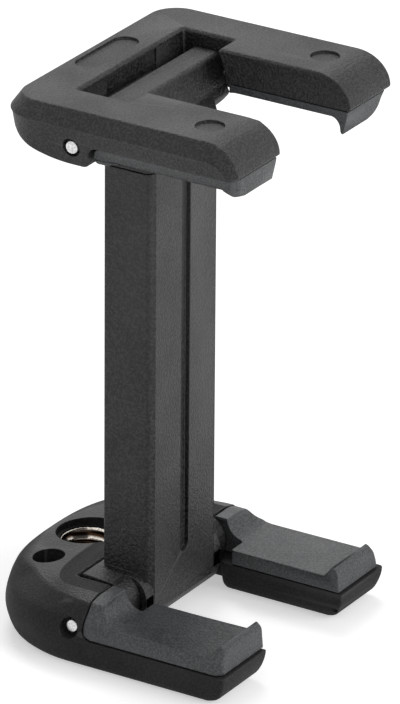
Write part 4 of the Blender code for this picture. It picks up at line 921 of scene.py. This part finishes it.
def make_bottom_pad(sign):
    """Rubber pad on a lower arm: hump against the knuckle, flat grip face and upturned lip."""
    rear = LOWER_PAD_REAR_Y
    front = LOWER_PAD_FRONT_Y
    crest_z = LOWER_PAD_Z + HUMP_HEIGHT
    scoop_start = rear - HUMP_LENGTH
    lip_foot = front + LIP_LENGTH
    lip_z = LOWER_PAD_Z + LIP_HEIGHT
    section = rounded([
        (front + LIP_LEAN, lip_z, LIP_ROUND, 5),
        (front, LOWER_SEAM_Z, 0, 0),
        (rear, LOWER_SEAM_Z, LOWER_PAD_HEEL_ROUND, 5),
        (rear, crest_z, 0.3 * MM, 3),
        (scoop_start, crest_z, 0, 0),
    ])
    section += arc((scoop_start - HUMP_SCOOP, crest_z), (HUMP_SCOOP, HUMP_HEIGHT), -9, -90, 7)
    section.append((lip_foot, LOWER_PAD_Z))
    pad = lower_form(LOWER_PAD_SIDE_INSET, front - 0.05 * MM, LOWER_PAD_TIP_ROUND)
    block = prism(section, 0.0, WIDE, 'X')
    if sign < 0:
        block.location.x -= WIDE
    slot = pad_slot(LOWER_ARM_GAP_HALF, LOWER_PAD_SHOULDER_REACH, -PAST, LOWER_TOP_Z + PAST)
    return cut(trim(pad, block), slot)


def column_outline():
    """Plan of the sleeve and of the slider's cap."""
    return rounded(both_sides([
        (-COLUMN_HALF_WIDTH, COLUMN_REAR_Y, 0.3 * MM, 2),
        (-COLUMN_HALF_WIDTH, COLUMN_FRONT_Y + COLUMN_CHAMFER, 0, 0),
        (-COLUMN_HALF_WIDTH + COLUMN_CHAMFER, COLUMN_FRONT_Y, 0, 0),
    ]))


def swept_foot(front_reach, toe_radius):
    """Lower edge of a side section that must turn about the lower pin: toe arc, flat, heel arc."""
    centre = (PIN_Y, LOWER_PIN_Z)
    bottom = KNUCKLE_BOTTOM_REACH
    toe_start = 180 + math.degrees(math.acos(front_reach / toe_radius))
    toe_end = 180 + math.degrees(math.asin(bottom / toe_radius))
    heel_start = -math.degrees(math.asin(bottom / KNUCKLE_HEEL_RADIUS))
    heel_end = -math.degrees(math.acos(KNUCKLE_REAR_REACH / KNUCKLE_HEEL_RADIUS))
    toe = circle(centre, toe_radius, toe_start, toe_end, 6)
    return toe + circle(centre, KNUCKLE_HEEL_RADIUS, heel_start, heel_end, 4)


def lower_knuckle_section(front_reach, toe_radius):
    """Side section of the lower knuckle: flat behind, gently falling top, round crown and swept foot."""
    top = LOWER_PIN_Z + LOWER_KNUCKLE_TOP_REACH
    rear = PIN_Y + KNUCKLE_REAR_REACH
    front = PIN_Y - front_reach
    crown_z = top - LOWER_KNUCKLE_TOP_FALL
    head = rounded([
        (rear, top, 0.25 * MM, 2),
        (front, crown_z, CROWN_ROUND, 7),
        (front, LOWER_PIN_Z, 0, 0),
        (rear, LOWER_PIN_Z, 0, 0),
    ])
    return head[:-2] + swept_foot(front_reach, toe_radius)


def make_column_sleeve():
    """Rectangular sleeve with its lower knuckle, its cavity and the long groove in front."""
    foot_z = LOWER_PIN_Z - KNUCKLE_BOTTOM_REACH
    sleeve = prism(column_outline(), foot_z - PAST, SLEEVE_TOP_Z, 'Z')
    front_reach = PIN_Y - COLUMN_FRONT_Y + PAST
    toe = swept_foot(PIN_Y - COLUMN_FRONT_Y - 0.001 * MM, LOWER_WEB_TOE_RADIUS)
    high = SLEEVE_TOP_Z + PAST
    outline = [(PIN_Y + front_reach, high), (PIN_Y - front_reach, high), (PIN_Y - front_reach, toe[0][1])]
    trim(sleeve, prism(outline + toe, -WIDE, WIDE, 'X'))
    web_half = LOWER_ARM_GAP_HALF - LOWER_WEB_SIDE_GAP
    web = lower_knuckle_section(LOWER_WEB_FRONT_REACH, LOWER_WEB_TOE_RADIUS)
    barrel = lower_knuckle_section(LOWER_BARREL_RADIUS, LOWER_BARREL_RADIUS + 0.02 * MM)
    join(sleeve, prism(web, -web_half, web_half, 'X'), prism(barrel, -KNUCKLE_HALF, KNUCKLE_HALF, 'X'))
    cavity = rectangle(CAVITY_HALF, CAVITY_FRONT_Y, CAVITY_REAR_Y)
    groove = circle((0.0, GROOVE_FOOT_Z + GROOVE_HALF_WIDTH), GROOVE_HALF_WIDTH, 180, 360, 10)
    groove += [(GROOVE_HALF_WIDTH, high), (-GROOVE_HALF_WIDTH, high)]
    bar_half = CAVITY_HALF + BAR_SEAT
    return cut(
        sleeve,
        prism(cavity, CAVITY_FLOOR_Z, high, 'Z'),
        prism(groove, COLUMN_FRONT_Y - PAST, COLUMN_FRONT_Y + GROOVE_DEPTH, 'Y'),
        cross_rod(BAR_RADIUS + BAR_FIT, -bar_half, bar_half, LOWER_BAR_Z, SPRING_Y),
        pin_bore(LOWER_PIN_Z),
        *washer_recesses(LOWER_PIN_Z),
    )


def washer_recesses(z):
    """Cutters of the recesses for a knuckle's two friction washers."""
    return [cross_rod(WASHER_RADIUS + SEAT_FIT, sign * (KNUCKLE_HALF - WASHER_RECESS),
                      sign * (KNUCKLE_HALF + PAST), z, steps=ROUND_STEPS) for sign in (-1, 1)]


def head_gussets():
    """Round-faced gussets under the knuckle's overhang, one on each side of the cap."""
    outer = KNUCKLE_HALF - 0.2 * MM
    inner = COLUMN_HALF_WIDTH - 0.3 * MM
    high = UNDER_HEAD_Z + 0.2 * MM
    face = arc((inner, UNDER_HEAD_Z), (outer - inner, UPPER_KNUCKLE_GUSSET_DROP), 0, -90, 7)
    face += [(inner, high), (outer, high)]
    front = PIN_Y - UPPER_KNUCKLE_SHOULDER_REACH + 0.05 * MM
    rear = PIN_Y + KNUCKLE_REAR_REACH - 0.3 * MM
    return [prism([(sign * x, z) for x, z in face], front, rear, 'Y') for sign in (-1, 1)]


def make_slider_head():
    """Head of the slider: cap with the column's section, upper knuckle and the rail's socket."""
    foot = SLEEVE_TOP_Z + CAP_SEAM
    rear = PIN_Y + KNUCKLE_REAR_REACH
    front = PIN_Y - UPPER_KNUCKLE_FRONT_REACH
    crown = UPPER_PIN_Z + UPPER_KNUCKLE_TOP_REACH
    brow_z = UNDER_HEAD_Z + UPPER_KNUCKLE_SHOULDER_HEIGHT
    head = prism(rounded([
        (PIN_Y + 1.0 * MM, crown, 0.3 * MM, 2),
        (front + 0.9 * MM, crown, 0.6 * MM, 4),
        (front, brow_z, 0.3 * MM, 2),
        (PIN_Y - UPPER_KNUCKLE_SHOULDER_REACH, UNDER_HEAD_Z, 0, 0),
        (rear, UNDER_HEAD_Z, 0, 0),
        (rear, UPPER_PIN_Z + 0.6 * MM, 0.8 * MM, 4),
    ]), -KNUCKLE_HALF, KNUCKLE_HALF, 'X')
    cap = prism(column_outline(), foot, UPPER_PIN_Z, 'Z')
    cap_side = prism([
        (COLUMN_REAR_Y + PAST, foot - PAST),
        (COLUMN_REAR_Y + PAST, brow_z),
        (front + 0.3 * MM, brow_z),
        (COLUMN_FRONT_Y - PAST, UNDER_HEAD_Z - PAST),
        (COLUMN_FRONT_Y - PAST, foot - PAST),
    ], -WIDE, WIDE, 'X')
    join(head, trim(cap, cap_side), *head_gussets())
    socket = rectangle(RAIL_HALF_WIDTH + SEAT_FIT, RAIL_FRONT_Y - SEAT_FIT, RAIL_REAR_Y + SEAT_FIT)
    return cut(head, prism(socket, foot - PAST, foot + RAIL_SOCKET_DEPTH, 'Z'), pin_bore(UPPER_PIN_Z),
               *washer_recesses(UPPER_PIN_Z))


def upper_form(levels, front_round):
    """Outer form of the upper jaw from levels of (half width, front, inset behind, height), upward."""
    rings = []
    for half_width, front_y, rear_inset, z in levels:
        rear_round = UPPER_REAR_ROUND - rear_inset * 0.9
        outline = rounded([
            (-half_width, front_y, front_round, 5),
            (half_width, front_y, front_round, 5),
            (half_width, UPPER_REAR_Y - rear_inset, rear_round, 14),
            (-half_width, UPPER_REAR_Y - rear_inset, rear_round, 14),
        ])
        rings.append([(x, y, z) for x, y in outline])
    return loft(rings)


def shell_levels():
    """Levels of the shell: sides that draw in towards the base, a small step, the slanted band."""
    step = UPPER_BAND_STEP
    return [
        (UPPER_BASE_HALF_WIDTH, -WIDE, step, UPPER_BASE_Z - PAST),
        (UPPER_BASE_HALF_WIDTH, -WIDE, step, UPPER_BASE_Z),
        (UPPER_SEAM_HALF_WIDTH, -WIDE, step, UPPER_SEAM_Z),
        (UPPER_HALF_WIDTH - step * 0.6, -WIDE, step, UPPER_BAND_Z - step),
        (UPPER_HALF_WIDTH, -WIDE, 0.0, UPPER_BAND_Z),
        (UPPER_HALF_WIDTH - UPPER_BAND_WIDTH, -WIDE, UPPER_BAND_WIDTH * 0.9, UPPER_TOP_Z),
    ]


def top_pad_levels():
    """Levels of the upper pads: the front leans like the lip, whose outer corner is rounded."""
    lip_z = UPPER_PAD_Z - UPPER_LIP_HEIGHT
    corner = UPPER_LIP_CORNER
    half = UPPER_BASE_HALF_WIDTH - UPPER_PAD_OUTER_INSET
    front = UPPER_TIP_Y + UPPER_PAD_TIP_INSET - 0.05 * MM
    lean = UPPER_LIP_LEAN / (UPPER_SEAM_Z - lip_z)
    outline = [
        (half - corner * 1.4, lip_z - corner * 0.2),
        (half - corner, lip_z),
        (half - corner * 0.5, lip_z + corner * 0.15),
        (half - corner * 0.13, lip_z + corner * 0.5),
        (half, lip_z + corner),
        (UPPER_SEAM_HALF_WIDTH - UPPER_PAD_OUTER_INSET, UPPER_SEAM_Z),
    ]
    rows = [ring[0] for ring in between([[point] for point in outline], 4)]
    return [(width, front + (UPPER_SEAM_Z - z) * lean, UPPER_PAD_OUTER_INSET, z) for width, z in rows]


def upper_section(inset):
    """Side section of the upper jaw: round tip, arm's underside, base and swept-up rear."""
    edge_z = UPPER_SEAM_Z + UPPER_TIP_EDGE
    tip_centre = UPPER_TIP_Y + UPPER_TIP_ROUND
    top = UPPER_TOP_Z - inset
    undercut = UPPER_REAR_UNDERCUT
    under_rear = UPPER_REAR_Y - UPPER_BAND_STEP - undercut
    section = [(UPPER_REAR_Y + PAST, UPPER_BAND_Z), (UPPER_REAR_Y + PAST, top)]
    section += arc((tip_centre, edge_z), (UPPER_TIP_ROUND - inset, top - edge_z), 90, 180, 9)
    section.append((UPPER_TIP_Y + inset + UPPER_PAD_TIP_INSET, UPPER_SEAM_Z))
    return rounded([
        *plain(section),
        (UPPER_BASE_FRONT_Y, UPPER_SEAM_Z, UPPER_PAD_HEEL_ROUND + PAD_SEAM, 4),
        (UPPER_BASE_FRONT_Y, UPPER_BASE_Z, UPPER_BASE_ROUND, 4),
        *plain(arc((under_rear, UPPER_BAND_Z), (undercut, UPPER_BAND_Z - UPPER_BASE_Z), 270, 355, 9)),
    ])


def upper_side_form():
    """The side section carried across the jaw, drawn in at both sides so that the band rounds the tip."""
    margin = 0.4 * MM
    inset = UPPER_BAND_HEIGHT + margin
    outer = UPPER_HALF_WIDTH + margin * UPPER_BAND_WIDTH / UPPER_BAND_HEIGHT
    inner = UPPER_HALF_WIDTH - UPPER_BAND_WIDTH
    stations = ((-outer, inset), (-inner, 0.0), (inner, 0.0), (outer, inset))
    return loft([[(x, y, z) for y, z in upper_section(drawn_in)] for x, drawn_in in stations])


def make_top_jaw_shell():
    """Upper jaw with its slot, its pin's holes and its shallow recesses."""
    shell = upper_form(shell_levels(), 0.5 * MM)
    trim(shell, upper_side_form())
    soften(cut(shell, upper_slot()), UPPER_JAW_ROUND, JAW_WELD)
    cut(shell, pin_bore(UPPER_PIN_Z))
    floor_z = UPPER_TOP_Z - RECESS_DEPTH
    high = UPPER_TOP_Z + PAST
    inner_end = UPPER_PIN_HALF - PIN_HOLE_DEPTH
    for sign in (-1, 1):
        cut(shell, cross_rod(UPPER_PIN_HOLE_RADIUS, sign * inner_end, sign * WIDE, UPPER_PIN_Z),
            post(sign * (UPPER_HALF_WIDTH - DISC_SIDE_INSET), DISC_Y, DISC_RADIUS, floor_z, high))
    straight = BADGE_HALF_LENGTH - BADGE_HALF_WIDTH
    badge = circle((straight, BADGE_Y), BADGE_HALF_WIDTH, -90, 90, 8)
    badge += circle((-straight, BADGE_Y), BADGE_HALF_WIDTH, 90, 270, 8)
    panel_top = UPPER_TOP_Z - REAR_PANEL_DROP
    cut(shell, prism(badge, floor_z, high, 'Z'),
        box((-REAR_PANEL_HALF_WIDTH, SLOT_REAR_Y - PAST, panel_top - REAR_PANEL_HEIGHT),
            (REAR_PANEL_HALF_WIDTH, SLOT_REAR_Y + RECESS_DEPTH, panel_top)))
    return soften(shell, RIM_ROUND, FINE_WELD, RIM_ANGLE)


def make_top_pad(sign):
    """Rubber pad under an upper arm: low hump behind, flat grip face and a lip that curves down."""
    top = UPPER_SEAM_Z - PAD_SEAM
    rear = UPPER_PAD_REAR_Y
    front = UPPER_TIP_Y + UPPER_PAD_TIP_INSET
    crest_z = UPPER_PAD_Z - UPPER_HUMP_HEIGHT
    lip_z = UPPER_PAD_Z - UPPER_LIP_HEIGHT
    scoop_start = rear - UPPER_HUMP_LENGTH
    tip_z = lip_z + UPPER_LIP_ROUND
    lip_foot = front + UPPER_LIP_LENGTH
    lip_back = front + UPPER_LIP_LEAN + UPPER_LIP_ROUND
    corners = [(rear, top, UPPER_PAD_HEEL_ROUND, 4), (front, top, 0, 0)]
    corners += plain(
        circle((front + UPPER_LIP_LEAN, tip_z), UPPER_LIP_ROUND, 200, 360, 5)
        + arc((lip_foot, tip_z), (lip_foot - lip_back, UPPER_PAD_Z - tip_z), 165, 90, 5)
        + arc((scoop_start - UPPER_HUMP_SCOOP, crest_z), (UPPER_HUMP_SCOOP, UPPER_HUMP_HEIGHT), 90, 9, 5)
    )
    corners += [(scoop_start, crest_z, 0.2 * MM, 2), (rear, crest_z, 0.8 * MM, 5)]
    section = rounded(corners)
    pad = upper_form(top_pad_levels(), UPPER_PAD_FRONT_ROUND)
    inner = UPPER_ARM_GAP_HALF + UPPER_PAD_SIDE_INSET
    rings = []
    for x in (inner - PAST, UPPER_HALF_WIDTH + PAST):
        fall = (x - inner) * UPPER_PAD_FALL
        ring = []
        for y, z in section:
            share = min((top - z) / (top - UPPER_PAD_Z), (z - lip_z) / UPPER_LIP_HEIGHT, 1.0)
            ring.append((sign * x, y, z - fall * share))
        rings.append(ring)
    slot = pad_slot(inner, UPPER_SLOT_REACH + UPPER_SLOT_LEAN, UPPER_BASE_Z - PAST - PAST, UPPER_TOP_Z + PAST)
    return cut(trim(pad, loft(rings)), slot)


def faults(shape, tree, width):
    """Places on the unrounded piece where rounding its edges threw points out or turned a face over."""
    places = []
    for vert in shape.verts:
        place, _, _, distance = tree.find_nearest(vert.co)
        if distance > width * THROWN_OUT:
            places.append(place)
    for face in shape.faces:
        if face.calc_area() > LEAST_FACE ** 2:
            place, normal, _, _ = tree.find_nearest(face.calc_center_median())
            if face.normal.dot(normal) < TURNED_OVER:
                places.append(place)
    return places


def turns(edge, angle):
    """Whether the faces at an edge meet at more than an angle in degrees."""
    return edge.is_manifold and edge.calc_face_angle() > math.radians(angle)


def soften(obj, width, weld, sharp=SHARP_ANGLE, creases=()):
    """Weld a piece, take out needless points and round its sharp edges where that comes out clean.

    The edges that run level at the creases' heights are kept crisp.
    """
    whole = bmesh.new()
    whole.from_mesh(obj.data)
    bmesh.ops.remove_doubles(whole, verts=whole.verts, dist=weld)
    bmesh.ops.dissolve_degenerate(whole, edges=whole.edges, dist=weld / 2)
    bmesh.ops.dissolve_limit(whole, angle_limit=math.radians(FLAT_ANGLE), verts=whole.verts,
                             edges=whole.edges)
    bmesh.ops.recalc_face_normals(whole, faces=whole.faces)
    tree = BVHTree.FromBMesh(whole)
    left_sharp = set()
    for attempt in range(SOFTEN_TRIES):
        shape = whole.copy()
        shape.edges.ensure_lookup_table()
        edges = [edge for edge in shape.edges if edge.index not in left_sharp and turns(edge, sharp)]
        bmesh.ops.bevel(shape, geom=edges, offset=width, offset_type='OFFSET', segments=3, profile=0.5,
                        affect='EDGES', clamp_overlap=False, loop_slide=False)
        shape.normal_update()
        places = faults(shape, tree, width)
        if not places or attempt == SOFTEN_TRIES - 1:
            break
        shape.free()
        for edge in whole.edges:
            ends = [vert.co for vert in edge.verts]
            points = (*ends, (ends[0] + ends[1]) / 2)
            if any((point - place).length < width * FAULT_REACH for place in places for point in points):
                left_sharp.add(edge.index)
    whole.free()
    bmesh.ops.remove_doubles(shape, verts=shape.verts, dist=LAST_WELD)
    bmesh.ops.recalc_face_normals(shape, faces=shape.faces)
    shape.normal_update()
    for edge in shape.edges:
        level = any(all(abs(vert.co.z - z) < CREASE_REACH for vert in edge.verts) for z in creases)
        if level and turns(edge, CREASE_ANGLE):
            edge.smooth = False
    shape.to_mesh(obj.data)
    shape.free()
    return obj


def settle(obj, node, body, material):
    """Put a finished piece in the place of its node."""
    obj.data.transform(Matrix.Translation((0.0, ORIGIN_SHIFT_Y, 0.0)) @ obj.matrix_world)
    obj.matrix_world = Matrix.Identity(4)
    for vert in obj.data.vertices:
        vert.co.x = min(max(vert.co.x, -LOWER_HALF_WIDTH), LOWER_HALF_WIDTH)
    obj.name = node + "_fine"
    obj.data.name = obj.name
    obj.data.materials.clear()
    obj.data.materials.append(material)
    obj.data.shade_smooth()
    weighted = obj.modifiers.new("weighted_normals", 'WEIGHTED_NORMAL')
    weighted.weight = NORMAL_WEIGHT
    weighted.keep_sharp = True
    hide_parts(node)
    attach(obj, body)


def stretch(node, solid):
    """Smooth-shaded copy of a spring that takes its node's place, fixed where it stands."""
    spring = add_object(node + "_fine", solid.data.copy())
    spring.data.shade_smooth()
    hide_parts(node)
    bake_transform(spring)


def thread_shape(turn):
    """Height of the thread at a share of a turn: flat crest, two flanks and a flat root."""
    return min(max(abs(turn % 1.0 - 0.5) * 2.6 - 0.25, 0.0), 1.0)


def make_fine_insert():
    """Turned bush with a real helical thread of 20 turns an inch in its bore."""
    top = LOWER_TOP_Z - BUSH_TOP_DEPTH
    ledge = top - BUSH_NECK_HEIGHT
    foot = BUSH_FOOT_RECESS
    band = (ledge - foot) / BUSH_BANDS
    edge = BUSH_EDGE
    groove = BUSH_RADIUS - BUSH_GROOVE_DEPTH
    outer = [(BUSH_NECK_RADIUS - edge, top), (BUSH_NECK_RADIUS, top - edge), (BUSH_NECK_RADIUS, ledge),
             (BUSH_RADIUS - edge, ledge), (BUSH_RADIUS, ledge - edge)]
    for level in (1, 3):
        high = ledge - level * band
        low = ledge - (level + 1) * band
        outer += [(BUSH_RADIUS, high + edge), (BUSH_RADIUS - edge, high), (groove, high), (groove, low),
                  (BUSH_RADIUS - edge, low), (BUSH_RADIUS, low - edge)]
    outer += [(BUSH_RADIUS, foot + edge), (BUSH_RADIUS - edge, foot)]
    rings = [[(radius, z)] * THREAD_STEPS for radius, z in outer]
    rim = THREAD_MINOR_RADIUS + THREAD_DEPTH * THREAD_OPEN
    for row in range(THREAD_ROWS + 1):
        z = foot + (top - foot) * row / THREAD_ROWS
        open_share = max(1.0 - (z - foot) / THREAD_LEAD, 1.0 - (top - z) / THREAD_LEAD, 0.0)
        ring = []
        for step in range(THREAD_STEPS):
            height = thread_shape(z / THREAD_PITCH - step / THREAD_STEPS)
            radius = THREAD_MINOR_RADIUS + THREAD_DEPTH * (1.0 - height)
            ring.append((max(radius, THREAD_MINOR_RADIUS + (rim - THREAD_MINOR_RADIUS) * open_share), z))
        rings.append(ring)
    shape = bmesh.new()
    loops = []
    for ring in rings:
        loop = []
        for step, (radius, z) in enumerate(ring):
            angle = math.tau * step / THREAD_STEPS
            loop.append(shape.verts.new((radius * math.cos(angle), BUSH_Y + radius * math.sin(angle), z)))
        loops.append(loop)
    skin(shape, loops + [loops[0]])
    return finish_mesh(shape)


def make_fine_pin(half, z, splined):
    """Hinge pin with chamfered ends; the splined kind has a knurled grip at each end."""
    chamfer, knurl = PIN_CHAMFER, KNURL_LENGTH
    tip = [(half - knurl - chamfer, PIN_RADIUS, 0.0), (half - knurl, PIN_RADIUS, 1.0),
           (half - chamfer, PIN_RADIUS, 1.0), (half, PIN_RADIUS - chamfer, 0.0)]
    rings = []
    for x, radius, grip in [(-x, *rest) for x, *rest in reversed(tip)] + tip:
        ring = []
        for step in range(ROUND_STEPS):
            angle = math.tau * step / ROUND_STEPS
            dent = KNURL_DEPTH * grip * (step % 4 in (2, 3)) if splined else 0.0
            ring.append((x, PIN_Y + (radius - dent) * math.cos(angle), z + (radius - dent) * math.sin(angle)))
        rings.append(ring)
    return loft(rings)


def main():
    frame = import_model()
    make_camera()
    make_world()
    for lamp in LAMPS:
        add_lamp(*lamp)
    make_floor()
    looks = {name: grained(name, *finish) for name, finish in MOULDED.items()}
    looks.update({name: metal(name, *finish) for name, finish in METALS.items()})
    slots = {row["node"]: row["material_slot"] for row in frame["record"]["subparts"]}
    bodies = frame["record"]["behaviour"]["bodies"]
    owners = {node: body for body, nodes in bodies.items() for node in nodes}
    for name, node in frame["nodes"].items():
        node.data.materials.clear()
        node.data.materials.append(looks[slots[name]])

    fine = {
        "bottom_jaw_body": make_bottom_jaw_body(),
        "column_sleeve": soften(make_column_sleeve(), COLUMN_ROUND, FINE_WELD),
        "slider_head": soften(make_slider_head(), COLUMN_ROUND, FINE_WELD),
        "top_jaw_shell": make_top_jaw_shell(),
        "thread_insert": make_fine_insert(),
        "bottom_hinge_pin": make_fine_pin(LOWER_PIN_HALF, LOWER_PIN_Z, True),
        "top_hinge_pin": make_fine_pin(UPPER_PIN_HALF, UPPER_PIN_Z, False),
    }
    for side, sign in (("left", -1), ("right", 1)):
        fine["bottom_pad_" + side] = soften(make_bottom_pad(sign), PAD_ROUND, JAW_WELD)
        fine["top_pad_" + side] = soften(make_top_pad(sign), PAD_ROUND, JAW_WELD)
    for node, piece in fine.items():
        settle(piece, node, owners[node], looks[slots[node]])
    for node in ("spring_left", "spring_right"):
        stretch(node, frame["nodes"][node])
    bpy.context.scene.view_settings.view_transform = 'Standard'


main()
